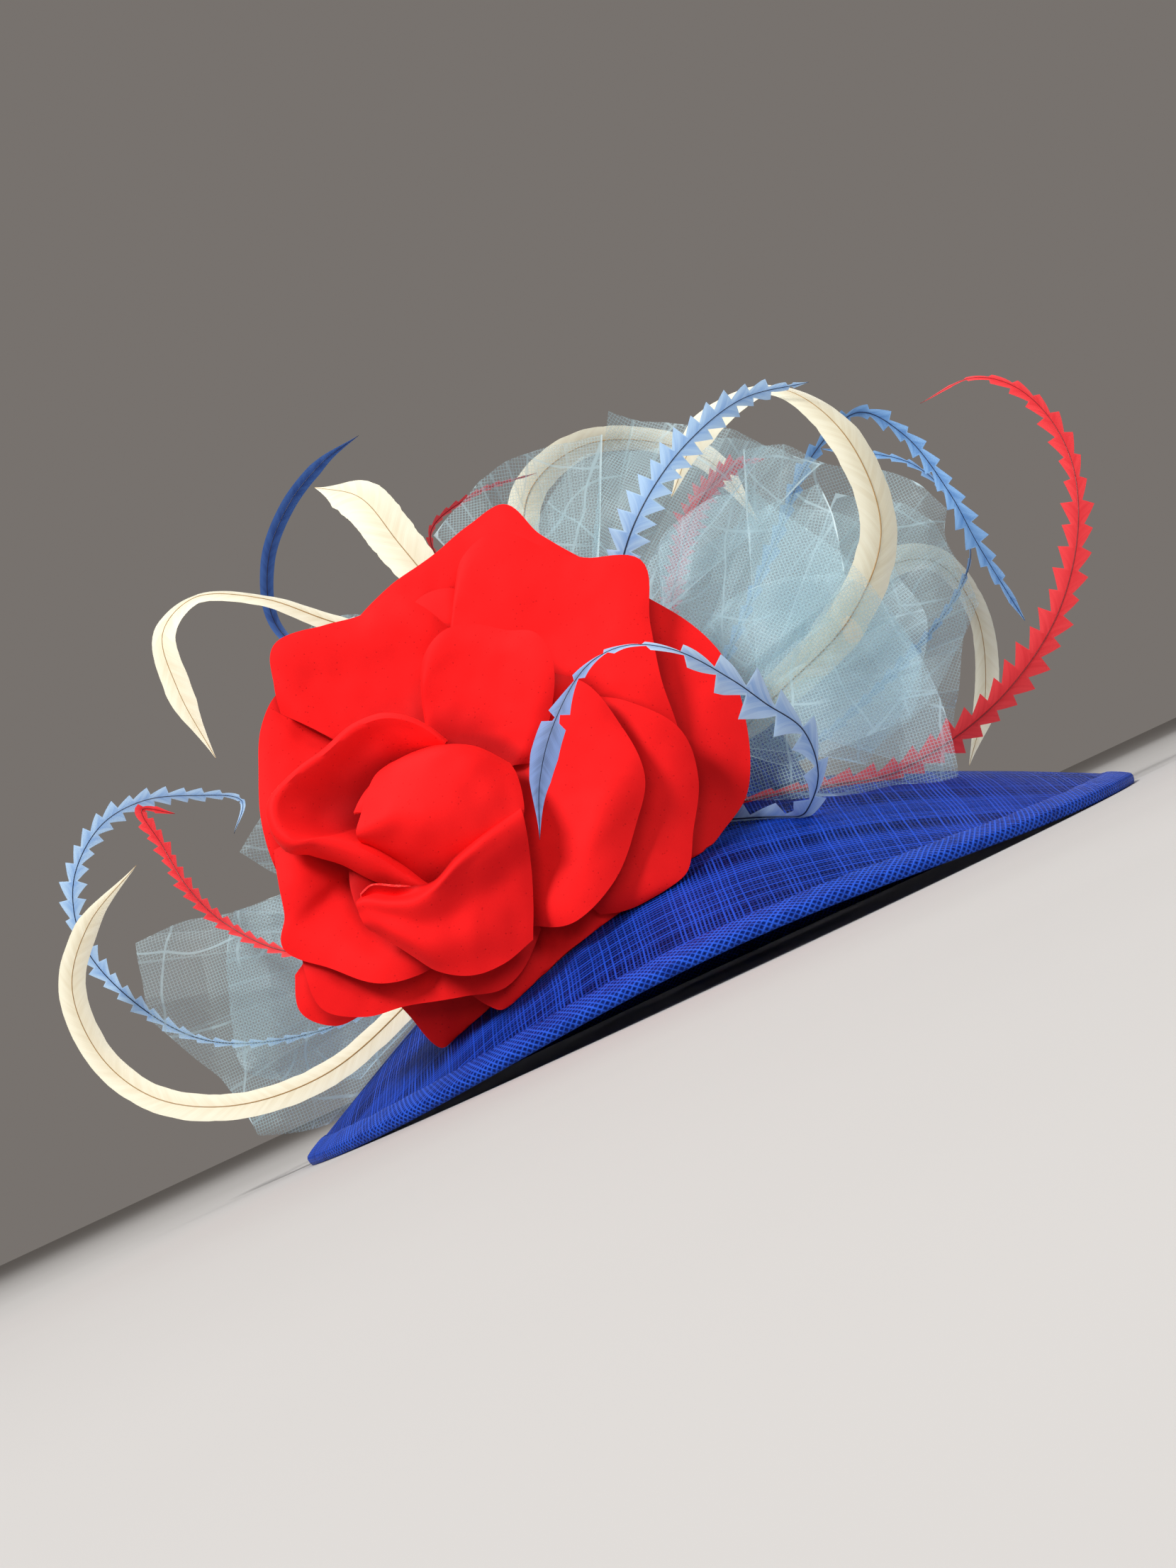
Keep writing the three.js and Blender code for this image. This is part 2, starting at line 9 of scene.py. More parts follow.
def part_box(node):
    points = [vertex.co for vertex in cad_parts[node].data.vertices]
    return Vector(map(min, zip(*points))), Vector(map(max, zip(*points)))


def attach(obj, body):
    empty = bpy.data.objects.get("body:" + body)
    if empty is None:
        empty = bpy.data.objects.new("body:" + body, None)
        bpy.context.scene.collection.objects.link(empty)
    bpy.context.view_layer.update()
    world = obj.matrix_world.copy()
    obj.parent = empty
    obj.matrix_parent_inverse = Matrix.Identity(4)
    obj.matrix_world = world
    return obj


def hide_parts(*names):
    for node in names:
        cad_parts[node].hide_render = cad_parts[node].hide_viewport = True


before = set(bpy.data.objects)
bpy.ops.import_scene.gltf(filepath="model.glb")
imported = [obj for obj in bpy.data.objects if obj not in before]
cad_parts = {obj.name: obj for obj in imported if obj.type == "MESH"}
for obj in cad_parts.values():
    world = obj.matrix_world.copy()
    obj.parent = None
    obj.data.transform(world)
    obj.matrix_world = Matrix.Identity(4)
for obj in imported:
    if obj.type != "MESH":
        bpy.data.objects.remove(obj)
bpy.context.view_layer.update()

mm = 0.001
crownLow, crownHigh = (Vector(corner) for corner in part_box("crown"))
crownAxis = (crownLow + crownHigh) / 2

# hat sizes in mm, with the crown's axis at x = y = 0 and the floor at z = 0
hatShape = {
    "neckHalfWidth": 84, "neckHalfDepth": 99, "neckHeight": 75,
    "crownHeight": 105, "crownWall": 1.8, "squareness": 2.5, "crownFlare": 5,
    "rimRadius": 238, "edgeHeight": 4.5, "brimWall": 1.6, "droop": 1.12,
    "archRise": 12, "archNarrowness": 6, "gap": 0.3,
}


def neckRadius(turn):
    return 1 / math.hypot(math.cos(turn) / hatShape["neckHalfWidth"], math.sin(turn) / hatShape["neckHalfDepth"])


def rimLift(turn):  # the face side of the rim arches up from the floor
    return hatShape["archRise"] * max(0, -math.sin(turn)) ** hatShape["archNarrowness"]


def brimHeight(radius, turn):
    inner = neckRadius(turn)
    share = max(0, (radius - inner) / (hatShape["rimRadius"] - inner))
    edge = hatShape["edgeHeight"] + rimLift(turn)
    return hatShape["neckHeight"] + (edge - hatShape["neckHeight"]) * share ** hatShape["droop"]


def inRow(point):  # hat frame in mm to the row frame in metres
    return Vector((crownAxis.x + point[0] * mm, crownAxis.y + point[1] * mm, point[2] * mm))


# the trimming's own frame: x to the right and y up in the front view, z towards the viewer
trimPlace = {"turn": 25, "height": 110}
rosePlace = {"x": -92, "y": -14, "z": 150, "lean": -10}
turned = math.radians(trimPlace["turn"])
trimFrame = Matrix((
    (math.cos(turned), math.sin(turned), 0, 0),
    (0, 0, -1, 0),
    (-math.sin(turned), math.cos(turned), 0, trimPlace["height"]),
    (0, 0, 0, 1),
))
roseFrame = (trimFrame @ Matrix.Translation((rosePlace["x"], rosePlace["y"], rosePlace["z"]))
             @ Matrix.Rotation(math.radians(rosePlace["lean"]), 4, "X"))


# camera and lights
view = {"distance": 1.230, "aim": (-0.022, 0.0, 0.123), "height": 0.022, "roll": 25.0, "lens": 52.0}
lamps = {  # place, size, power and colour
    "keySoftbox": ((-1.0, -1.6, 2.0), 0.7, 64, (1, 0.985, 0.97)),
    "fillSoftbox": ((1.3, -1.9, 1.0), 1.0, 15, (0.97, 0.985, 1)),
    "topSoftbox": ((0.1, 0.3, 2.3), 1.6, 16, (1, 1, 1)),
    "backSoftbox": ((0.9, 1.9, 1.4), 1.2, 7, (1, 1, 1)),
}


def setCamera():
    aim = Vector(view["aim"]) + Vector((crownAxis.x, crownAxis.y, 0))
    back = math.sqrt(view["distance"] ** 2 - (aim.z - view["height"]) ** 2)
    place = Vector((aim.x, aim.y - back, view["height"]))
    forward = (aim - place).normalized()
    level = forward.cross(Vector((0, 0, 1))).normalized()
    upright = level.cross(forward)
    roll = math.radians(view["roll"])
    right = level * math.cos(roll) - upright * math.sin(roll)
    up = level * math.sin(roll) + upright * math.cos(roll)
    data = bpy.data.cameras.new("photoCamera")
    data.sensor_fit = "VERTICAL"
    data.sensor_height = 36.0
    data.lens = view["lens"]
    data.clip_start = 0.001
    data.clip_end = 100
    camera = bpy.data.objects.new("photoCamera", data)
    camera.matrix_world = Matrix((
        (right.x, up.x, -forward.x, place.x),
        (right.y, up.y, -forward.y, place.y),
        (right.z, up.z, -forward.z, place.z),
        (0, 0, 0, 1),
    ))
    bpy.context.scene.collection.objects.link(camera)
    bpy.context.scene.camera = camera


def addLight(name, place, size, power, colour):
    data = bpy.data.lights.new(name, "AREA")
    data.shape = "DISK"
    data.size = size
    data.energy = power
    data.color = colour
    lamp = bpy.data.objects.new(name, data)
    lamp.location = place
    lamp.rotation_euler = (Vector((0, 0, 0.15)) - Vector(place)).to_track_quat("-Z", "Y").to_euler()
    bpy.context.scene.collection.objects.link(lamp)


setCamera()
for name, settings in lamps.items():
    addLight(name, *settings)
bpy.context.scene.view_settings.view_transform = "Standard"
bpy.context.scene.view_settings.look = "None"
print("camera and lights done")


# node and mesh helpers
def setInputs(tree, made, inputs):
    for key, value in inputs.items():
        if isinstance(value, bpy.types.NodeSocket):
            tree.links.new(value, made.inputs[key])
        else:
            made.inputs[key].default_value = value


def addNode(tree, kind, inputs=None, **settings):
    made = tree.nodes.new(kind)
    for key, value in settings.items():
        setattr(made, key, value)
    setInputs(tree, made, inputs or {})
    return made


def maths(tree, operation, first, second=0.0, third=0.0):
    return addNode(tree, "ShaderNodeMath", {0: first, 1: second, 2: third}, operation=operation).outputs[0]


def vectorMaths(tree, operation, first, second):
    made = addNode(tree, "ShaderNodeVectorMath", operation=operation)
    setInputs(tree, made, {0: first, "Scale" if operation == "SCALE" else 1: second})
    return made.outputs["Value" if operation == "DOT_PRODUCT" else "Vector"]


def smoothStep(tree, value, low, high, out=(0.0, 1.0)):
    inputs = {"Value": value, "From Min": low, "From Max": high, "To Min": out[0], "To Max": out[1]}
    return addNode(tree, "ShaderNodeMapRange", inputs, interpolation_type="SMOOTHSTEP").outputs["Result"]


def mixColours(tree, share, first, second):
    mix = addNode(tree, "ShaderNodeMix", {"Factor": share}, data_type="RGBA")
    for socket, value in zip([s for s in mix.inputs if s.type == "RGBA"], (first, second)):
        if isinstance(value, bpy.types.NodeSocket):
            tree.links.new(value, socket)
        else:
            socket.default_value = (*value, 1)
    return next(s for s in mix.outputs if s.type == "RGBA")


def cloudNoise(tree, place, scale, detail, roughness=0.5):
    inputs = {"Vector": place, "Scale": scale, "Detail": detail, "Roughness": roughness}
    return addNode(tree, "ShaderNodeTexNoise", inputs).outputs


def lineNoise(tree, place, scale=1.0, detail=2.0):
    inputs = {"W": place, "Scale": scale, "Detail": detail}
    return addNode(tree, "ShaderNodeTexNoise", inputs, noise_dimensions="1D").outputs[0]


def bumpNormal(tree, height, strength, distance):
    inputs = {"Height": height, "Strength": strength, "Distance": distance * mm}
    return addNode(tree, "ShaderNodeBump", inputs).outputs[0]


def attribute(tree, title):
    return addNode(tree, "ShaderNodeAttribute", attribute_name=title).outputs["Fac"]


def clothSpace(tree):
    return addNode(tree, "ShaderNodeUVMap", uv_map="clothUV").outputs[0]


def objectSpace(tree):
    return addNode(tree, "ShaderNodeTexCoord").outputs["Object"]


def splitAxes(tree, place):
    return addNode(tree, "ShaderNodeSeparateXYZ", {0: place}).outputs


def newLook(name):
    look = bpy.data.materials.new(name)
    look.use_nodes = True
    return look, look.node_tree, look.node_tree.nodes["Principled BSDF"]


def makeObject(name, mesh, look):
    mesh.name = name
    mesh.materials.clear()
    mesh.materials.append(look)
    piece = bpy.data.objects.new(name, mesh)
    bpy.context.scene.collection.objects.link(piece)
    mesh.shade_smooth()
    return piece


def applyModifiers(piece):
    graph = bpy.context.evaluated_depsgraph_get()
    finished = bpy.data.meshes.new_from_object(
        piece.evaluated_get(graph), preserve_all_data_layers=True, depsgraph=graph)
    piece.modifiers.clear()
    old = piece.data
    piece.data = finished
    bpy.data.meshes.remove(old)
    piece.data.name = piece.name


def finishPiece(piece, material, *nodes):
    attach(piece, "root")
    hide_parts(*nodes)


def tidyShell(mesh):
    shell = bmesh.new()
    shell.from_mesh(mesh)
    bmesh.ops.remove_doubles(shell, verts=shell.verts, dist=1e-6)
    bmesh.ops.recalc_face_normals(shell, faces=shell.faces)
    shell.to_mesh(mesh)
    shell.free()


def gridMesh(name, across, along, vertices):
    wide = across + 1
    corners = [(j * wide + i, (j + 1) * wide + i) for j in range(along) for i in range(across)]
    mesh = bpy.data.meshes.new(name)
    mesh.from_pydata(vertices, [], [(low, low + 1, high + 1, high) for low, high in corners])
    return mesh


def ringMesh(name, loopAt, sides, clothAt):  # a closed section swept round the crown's axis
    turns = [2 * math.pi * k / sides for k in range(sides + 1)]
    loops = [loopAt(turn) for turn in turns[:-1]]
    count = len(loops[0])
    vertices = [inRow((radius * math.cos(turn), radius * math.sin(turn), height))
                for turn, loop in zip(turns, loops) for radius, height in loop]
    faces = []
    for k in range(sides):
        here, there = k * count, (k + 1) % sides * count
        faces += [(here + i, here + (i + 1) % count, there + (i + 1) % count, there + i) for i in range(count)]
    mesh = bpy.data.meshes.new(name)
    mesh.from_pydata(vertices, [], faces)
    lengths = [0.0]
    for i in range(count):
        lengths.append(lengths[-1] + math.dist(loops[0][i], loops[0][(i + 1) % count]))
    layer = mesh.uv_layers.new(name="clothUV")
    for k in range(sides):
        for i in range(count):
            corners = ((k, i), (k, i + 1), (k + 1, i + 1), (k + 1, i))
            for corner, (a, b) in zip(mesh.polygons[k * count + i].loop_indices, corners):
                radius = loops[a % sides][b % count][0]
                layer.data[corner].uv = Vector(clothAt(turns[a], radius, lengths[b], lengths[-1])) * mm
    tidyShell(mesh)
    return mesh


# how the straw lies: flat over the brim, blocked over the crown from its top, and run round the rim
def flatCloth(turn, radius, length, whole):
    return radius * math.cos(turn), radius * math.sin(turn)


def blockedCloth(turn, radius, length, whole):
    reach = min(length, whole - length)
    return reach * math.cos(turn), reach * math.sin(turn)


def stripCloth(turn, radius, length, whole):
    return turn * hatShape["rimRadius"], length


def splinePoint(points, place):  # centripetal Catmull-Rom through every point, as in the part
    at = place * (len(points) - 1)
    row = min(int(at), len(points) - 2)
    w = at - row
    p1, p2 = points[row], points[row + 1]
    p0 = points[row - 1] if row > 0 else p1 * 2 - p2
    p3 = points[row + 2] if row + 2 < len(points) else p2 * 2 - p1
    d0, d1, d2 = (math.sqrt((b - a).length) or 1.0 for a, b in ((p0, p1), (p1, p2), (p2, p3)))
    t1 = ((p1 - p0) / d0 - (p2 - p0) / (d0 + d1) + (p2 - p1) / d1) * d1
    t2 = ((p2 - p1) / d1 - (p3 - p1) / (d1 + d2) + (p3 - p2) / d2) * d1
    return p1 + t1 * w + (p2 * 3 - p1 * 3 - t1 * 2 - t2) * w ** 2 + (p1 * 2 - p2 * 2 + t1 + t2) * w ** 3


def softMax(a, b, blend):
    if abs(a - b) >= blend:
        return max(a, b)
    return max(a, b) + (blend - abs(a - b)) ** 2 / (4 * blend)


def keepOff(point, clear):  # lifts a trimming point that would lie inside the crown or the brim
    x, y, z = point
    wide = hatShape["neckHalfWidth"] + hatShape["crownWall"] + clear
    deep = hatShape["neckHalfDepth"] + hatShape["crownWall"] + clear
    tall = hatShape["crownHeight"] + clear
    power = hatShape["squareness"]
    above = max(0.0, z - hatShape["neckHeight"])
    fill = math.hypot(x / wide, y / deep) ** power + (above / tall) ** power
    if 0 < fill < 1:
        grow = fill ** (-1 / power)
        x, y = x * grow, y * grow
        z = hatShape["neckHeight"] + above * grow
    radius, turn = math.hypot(x, y), math.atan2(y, x)
    if radius < hatShape["rimRadius"] + 4:
        z = softMax(z, brimHeight(radius, turn) + hatShape["brimWall"] / 2 + clear, 3.0)
    return Vector((x, y, z))


# woven straw: pitch and cover of its strands, the share of their shade that runs in bands, and their light and dark
weave = {
    "warp": {"pitch": 1.9, "cover": (0.20, 0.32), "banding": 0.2, "seed": 3.0, "tint": (0.75, 0.2)},
    "weft": {"pitch": 2.3, "cover": (0.22, 0.40), "banding": 0.45, "seed": 71.0, "tint": (1.0, 0.15)},
    "turn": 3.0, "wander": 1.8, "relief": 0.5,
    "blue": (0.014, 0.075, 0.60), "deepBlue": (0.001, 0.004, 0.06), "shine": (0.2, 0.4, 1.0, 1),
}
biasStrip = {
    "first": {"pitch": 3.4, "cover": (0.30, 0.40), "banding": 0.2, "seed": 11.0},
    "second": {"pitch": 3.4, "cover": (0.26, 0.34), "banding": 0.2, "seed": 37.0},
    "lean": 1.1, "wander": 1.5, "relief": 0.9,
    "blue": (0.022, 0.10, 0.68), "deepBlue": (0.002, 0.010, 0.15), "shine": (0.25, 0.45, 1.0, 1),
}


# one set of parallel strands: where it covers, how high it stands and its random shade
def threads(tree, coordinate, strands):
    run = maths(tree, "DIVIDE", coordinate, strands["pitch"] * mm)
    index = maths(tree, "FLOOR", run)
    wave = maths(tree, "PINGPONG", run, 0.5)  # 0 between strands, 0.5 at the middle of one
    seeded = maths(tree, "ADD", index, strands["seed"])
    dice = addNode(tree, "ShaderNodeTexWhiteNoise", {"W": seeded}, noise_dimensions="1D").outputs["Value"]
    bands = lineNoise(tree, maths(tree, "MULTIPLY", index, 0.16))
    banded = smoothStep(tree, bands, 0.38, 0.62, (0.0, strands["banding"]))
    shade = maths(tree, "MULTIPLY_ADD", dice, 0.95 - strands["banding"], banded)
    cover = maths(tree, "MULTIPLY_ADD", dice, 0.08, smoothStep(tree, bands, 0.35, 0.65, strands["cover"]))
    mask = maths(tree, "GREATER_THAN", wave, maths(tree, "SUBTRACT", 0.5, cover))
    return mask, maths(tree, "MULTIPLY", smoothStep(tree, wave, 0.0, 0.5), mask), shade


def strawLook(name, settings):
    look, tree, shader = newLook(name)
    space = clothSpace(tree)
    drift = vectorMaths(tree, "SUBTRACT", cloudNoise(tree, space, 30.0, 1.0)["Color"], (0.5, 0.5, 0.5))
    place = vectorMaths(tree, "ADD", space, vectorMaths(tree, "SCALE", drift, settings["wander"] * mm))
    turn = (0, 0, math.radians(settings["turn"]))
    split = splitAxes(tree, addNode(tree, "ShaderNodeMapping", {"Vector": place, "Rotation": turn}).outputs[0])
    masks, heights, lit = [], [], []
    for axis, strands in (("X", settings["warp"]), ("Y", settings["weft"])):
        mask, height, shade = threads(tree, split[axis], strands)
        masks.append(mask)
        heights.append(height)
        lit.append(maths(tree, "MULTIPLY", height, maths(tree, "MULTIPLY_ADD", shade, *strands["tint"])))
    cloudy = cloudNoise(tree, space, 16.0, 3.0)[0]
    # each strand is painted lighter along its raised middle and darker towards its edges, as painted shade of its
    # relief, over its own random shade; the weft is tinted lighter than the warp
    tone = maths(tree, "MULTIPLY_ADD", cloudy, 0.35, maths(tree, "MAXIMUM", *lit))
    setInputs(tree, shader, {
        "Base Color": mixColours(tree, smoothStep(tree, tone, 0.2, 1.1), settings["deepBlue"], settings["blue"]),
        "Normal": bumpNormal(tree, maths(tree, "MAXIMUM", *heights), 0.9, settings["relief"]),
        "Alpha": maths(tree, "MAXIMUM", *masks),
        "Roughness": 0.55, "Specular IOR Level": 0.12, "Specular Tint": settings["shine"]})
    return look


def bindingLook(name, settings):
    look, tree, shader = newLook(name)
    space = clothSpace(tree)
    split = splitAxes(tree, space)
    drift = maths(tree, "MULTIPLY", cloudNoise(tree, space, 60.0, 1.0)[0], settings["wander"] * mm)
    along = maths(tree, "ADD", split["X"], drift)
    heights, shades = [], []
    for lean, strands in ((settings["lean"], settings["first"]), (-settings["lean"], settings["second"])):
        mask, height, shade = threads(tree, maths(tree, "MULTIPLY_ADD", split["Y"], lean, along), strands)
        heights.append(height)
        shades.append(maths(tree, "MULTIPLY", shade, mask))
    relief = maths(tree, "MAXIMUM", *heights)
    # the strands are painted lighter along their raised middles and darker towards their edges, as painted shade of
    # their relief, with their own random shade
    tone = maths(tree, "MULTIPLY", relief, maths(tree, "MULTIPLY_ADD", maths(tree, "MAXIMUM", *shades), 0.6, 0.5))
    setInputs(tree, shader, {
        "Base Color": mixColours(tree, smoothStep(tree, tone, 0.1, 0.95), settings["deepBlue"], settings["blue"]),
        "Normal": bumpNormal(tree, relief, 1.0, settings["relief"]),
        "Roughness": 0.5, "Specular IOR Level": 0.2, "Specular Tint": settings["shine"]})
    return look


strawWeave = strawLook("straw weave", weave)
rimStrip = bindingLook("bias strip", biasStrip)

brimMesh = {"sides": 240, "rows": 44, "ripple": 0.9, "rippleLength": 55}
crownMesh = {"sides": 144, "rows": 30}
bindingMesh = {"sides": 300, "turnOver": 9.5, "waviness": 0.5}


def brimLoop(turn):
    half = hatShape["brimWall"] / 2
    inner = neckRadius(turn) - 1
    top, bottom = [], []
    for i in range(brimMesh["rows"] + 1):
        share = i / brimMesh["rows"]
        radius = inner + (hatShape["rimRadius"] - inner) * share
        middle = Vector((radius * math.cos(turn), radius * math.sin(turn), 0))
        ripple = brimMesh["ripple"] * noise.noise(middle / brimMesh["rippleLength"]) * math.sin(math.pi * share)
        height = brimHeight(radius, turn) + ripple
        top.append((radius, height + half))
        bottom.append((radius, height - half))
    return top + bottom[::-1]


def crownLoop(turn):
    def dome(wallShift, tall):
        line, power = [], 2 / hatShape["squareness"]
        for i in range(crownMesh["rows"] + 1):
            angle = (1 - i / crownMesh["rows"]) * math.pi / 2
            share = max(0.0, math.cos(angle)) ** power if i else 0.0
            height = tall * math.sin(angle) ** power if i < crownMesh["rows"] else 0.0
            line.append(((neckRadius(turn) + wallShift) * share, height))
        return line
    base = hatShape["neckHeight"] + hatShape["brimWall"] / 2 + hatShape["gap"]
    wall = hatShape["crownWall"]
    outer = [(r, base + z) for r, z in dome(wall, hatShape["crownHeight"])]
    inner = [(r, base + z) for r, z in dome(0.3, hatShape["crownHeight"] - wall * 0.8)]
    reach = neckRadius(turn) + wall + hatShape["crownFlare"]  # the crown's foot turns out over the brim
    foot = brimHeight(reach, turn) + hatShape["brimWall"] / 2 + hatShape["gap"]
    flare = [(reach - 3.2, foot + 2.6), (reach - 1.2, foot + 1.4), (reach, foot + 1.2), (reach, foot)]
    return outer[:-2] + [(outer[-2][0] + 0.4, base + 4.5)] + flare + inner[::-1]


def bindingLoop(turn):
    start, end = hatShape["rimRadius"] - bindingMesh["turnOver"], hatShape["rimRadius"] + 0.3
    floorLift = rimLift(turn)
    ease = bindingMesh["waviness"] * math.sin(turn * 41) * math.sin(turn * 17)

    def along(radius, offset):
        return (radius, brimHeight(radius, turn) + offset)
    middle = brimHeight(end, turn)
    outer = [along(start - ease, 1.15), along(start + 0.8 - ease, 1.95), along(start + 3, 2.2), along(end - 2, 2.2),
             along(end + 0.6, 1.9), (end + 1.7, middle + 0.7), (end + 2.2, middle - 0.6),
             (end + 1.9, floorLift + (middle - floorLift) * 0.4), (end + 1.2, floorLift + 0.25),
             (end - 0.2, floorLift), (end - 1.8, floorLift), (end - 3.2, floorLift + 0.4)]
    inner = [along(start + 0.5, -2.1), along(start, -1.2), along(end, -1.1), along(end, 1.1)]
    return outer + inner


for name, loopAt, sides, clothAt, look, material, node in (
        ("woven_brim", brimLoop, brimMesh["sides"], flatCloth, strawWeave, "straw", "brim"),
        ("woven_crown", crownLoop, crownMesh["sides"], blockedCloth, strawWeave, "straw", "crown"),
        ("bound_rim", bindingLoop, bindingMesh["sides"], stripCloth, rimStrip, "binding", "rim_binding")):
    finishPiece(makeObject(name, ringMesh(name, loopAt, sides, clothAt), look), material, node)
print("straw done")


# foam rose
# the darkest red and the crease darkness are painted shade, deep in the rose and below the lips that lie over a petal
foamSizes = {"thickness": 1.7, "rootRadius": 9, "pitch": 2.6, "spread": 0.05, "domeRadius": 300,
             "liftPower": 2.5, "liftScale": 1.35, "rollFrom": 0.78, "dent": 2.4, "dentLength": 34, "dimple": 0.5,
             "dimpleLength": 9, "clear": 0.3, "across": 64, "along": 36, "creaseReach": 12, "paintedCreaseShade": 0.42,
             "red": (0.93, 0.009, 0.010), "deepRed": (0.66, 0.003, 0.005), "paintedShadeRed": (0.30, 0.0, 0.002),
             # the rim red is a painted highlight along the cut rims
             "rimHighlightRed": (1.0, 0.13, 0.11)}


def foamLook(name, settings):
    look, tree, shader = newLook(name)
    space = objectSpace(tree)
    cloudy = smoothStep(tree, cloudNoise(tree, space, 30.0, 2.0)[0], 0.2, 0.6, (0.7, 1.0))
    grain = cloudNoise(tree, space, 1400.0, 3.0, 0.7)[0]
    pores = addNode(tree, "ShaderNodeTexVoronoi", {"Vector": space, "Scale": 330.0}).outputs["Distance"]
    pit = smoothStep(tree, pores, 0.04, 0.17)
    speck = maths(tree, "MULTIPLY", pit, smoothStep(tree, grain, 0.25, 0.5, (0.75, 1.0)))
    foamOwnRed = mixColours(tree, maths(tree, "MULTIPLY", cloudy, speck), settings["deepRed"], settings["red"])
    # painted shade: the red darkens to the darkest red at the root and in the creases under overlying lips, as the lip
    # attribute gives
    lip = smoothStep(tree, attribute(tree, "lip"), 0.15, 0.8)
    setInputs(tree, shader, {
        "Base Color": mixColours(tree, lip, settings["paintedShadeRed"], foamOwnRed),
        "Normal": bumpNormal(tree, maths(tree, "MULTIPLY_ADD", grain, 0.5, pit), 0.3, 0.3),
        "Roughness": 0.7, "Specular IOR Level": 0.13,
        "Sheen Weight": 0.04, "Sheen Roughness": 0.4, "Sheen Tint": (1, 0.3, 0.22, 1)})
    return look


# bulge rounds a petal over, cup hollows it behind the lip and roll bends the lip back. A lip's points are angle, reach
petalSizes = ("layer", "lift", "wave", "bulge", "cup", "roll", "lip")
petals = {
    "back_top": (0, 12, 2, 3, 2, 2, (
        (117, 100), (106, 111), (94, 126), (86, 147), (80, 161), (72, 148), (64, 144), (52, 145))),
    "lowest": (0, 6, 2, 2, 1, 2, (
        (254, 92), (263, 104), (272, 119), (279, 119), (288, 109), (297, 98))),
    "outer_right": (1, 12, 2, 4, 2, 4, (
        (46, 144), (29, 155), (15, 153), (2, 148), (-8, 135), (-17, 132), (-28, 114))),
    "back_small": (1, 6, 0, 2, 0, 2, (
        (102, 92), (95, 103), (87, 105), (80, 90))),
    "outer_left": (1, 10, 2, 2, 5, 3, (
        (140, 86), (148, 92), (158, 92), (175, 86), (194, 84), (210, 84))),
    "bottom_curl": (1, 4, 0, 1, 4, 3, (
        (232, 108), (239, 121), (246, 119), (253, 106))),
    "upper_right": (2, 15, 3, 6, 5, 4, (
        (86, 98), (85, 120), (78, 135), (68, 134), (60, 138), (51, 153), (40, 132), (27, 120), (15, 119))),
    "upper_left": (2, 15, 3, 3, 8, 4, (
        (153, 84), (147, 93), (138, 106), (125, 99), (112, 95), (104, 99), (96, 91), (87, 80))),
    "bottom_right": (2, 10, 2, 4, 3, 4, (
        (276, 86), (284, 104), (292, 114), (305, 117), (326, 114), (340, 124), (348, 118))),
    "bottom": (3, 8, 3, 3, 4, 3, (
        (230, 94), (237, 106), (245, 116), (254, 112), (264, 103), (279, 100), (290, 101), (307, 84))),
    "right": (3, 10, 3, 7, 3, 6, (
        (32, 88), (24, 102), (13, 120), (3, 124), (-9, 123), (-19, 125), (-29, 114), (-37, 98))),
    "lower_left": (4, 9, 3, 2, 9, 5, (
        (203, 80), (214, 85), (223, 92), (229, 103), (242, 98), (256, 97), (266, 91), (273, 84))),
    "inner_right": (4, 12, 3, 8, 2, 6, (
        (46, 76), (33, 86), (19, 91), (1, 99), (-12, 97), (-30, 97), (-45, 94), (-54, 82))),
    "centre_top": (5, 10, 2, 6, 2, 4, (
        (98, 44), (95, 60), (86, 73), (76, 78), (65, 80), (56, 85), (46, 80), (33, 66), (14, 46))),
    "inner_left": (5, 6, 2, 2, 4, 2, (
        (226, 54), (236, 64), (246, 72), (257, 73), (265, 83), (277, 88), (286, 84))),
}
petals = {"petal_" + name: dict(zip(petalSizes, row)) for name, row in petals.items()}


def petalSurface(petal, seed):
    lip = [Vector((angle, reach, 0)) for angle, reach in petal["lip"]]
    widest = max(point.y for point in lip)
    root = foamSizes["rootRadius"]

    def pointAt(u, v):
        angle, reach, _ = splinePoint(lip, 1 - u)
        radius = root + (reach - root) * v
        turn = math.radians(angle)
        place = Vector((radius * math.cos(turn), radius * math.sin(turn), seed * 97.0))
        height = petal["layer"] * (foamSizes["pitch"] + foamSizes["spread"] * radius)
        height -= radius ** 2 / (2 * foamSizes["domeRadius"])
        height += foamSizes["liftScale"] * petal["lift"] * (reach / widest) ** 2 * v ** foamSizes["liftPower"]
        height += petal["wave"] * math.sin(3 * math.pi * u) * v ** 2
        height += petal["bulge"] * (math.sin(math.pi * u) - 0.5) * v * (1.1 - 0.5 * v)
        height -= petal["cup"] * math.sin(math.pi * v) ** 2 * v * math.sin(math.pi * u)
        height -= petal["roll"] * max(0.0, (v - foamSizes["rollFrom"]) / (1 - foamSizes["rollFrom"])) ** 2
        height += foamSizes["dent"] * v * noise.noise(place / foamSizes["dentLength"])
        height += foamSizes["dimple"] * noise.noise(place / foamSizes["dimpleLength"])
        point = roseFrame @ Vector((place.x, place.y, height))
        return inRow(keepOff(point, foamSizes["thickness"] / 2 + foamSizes["clear"]))
    return pointAt


def rimHighlightLook(name, settings):  # the cut rim of the foam sheet, painted lighter as a highlight along the petal edges, flecked by its cells
    look, tree, shader = newLook(name)
    cells = addNode(tree, "ShaderNodeTexVoronoi", {"Vector": objectSpace(tree), "Scale": 1500.0}).outputs["Distance"]
    colour = mixColours(tree, smoothStep(tree, cells, 0.1, 0.5), settings["rimHighlightRed"], settings["red"])
    setInputs(tree, shader, {"Base Color": colour, "Roughness": 0.8})
    return look


redFoam = foamLook("red foam", foamSizes)
rimHighlight = rimHighlightLook("painted foam rim highlight", foamSizes)


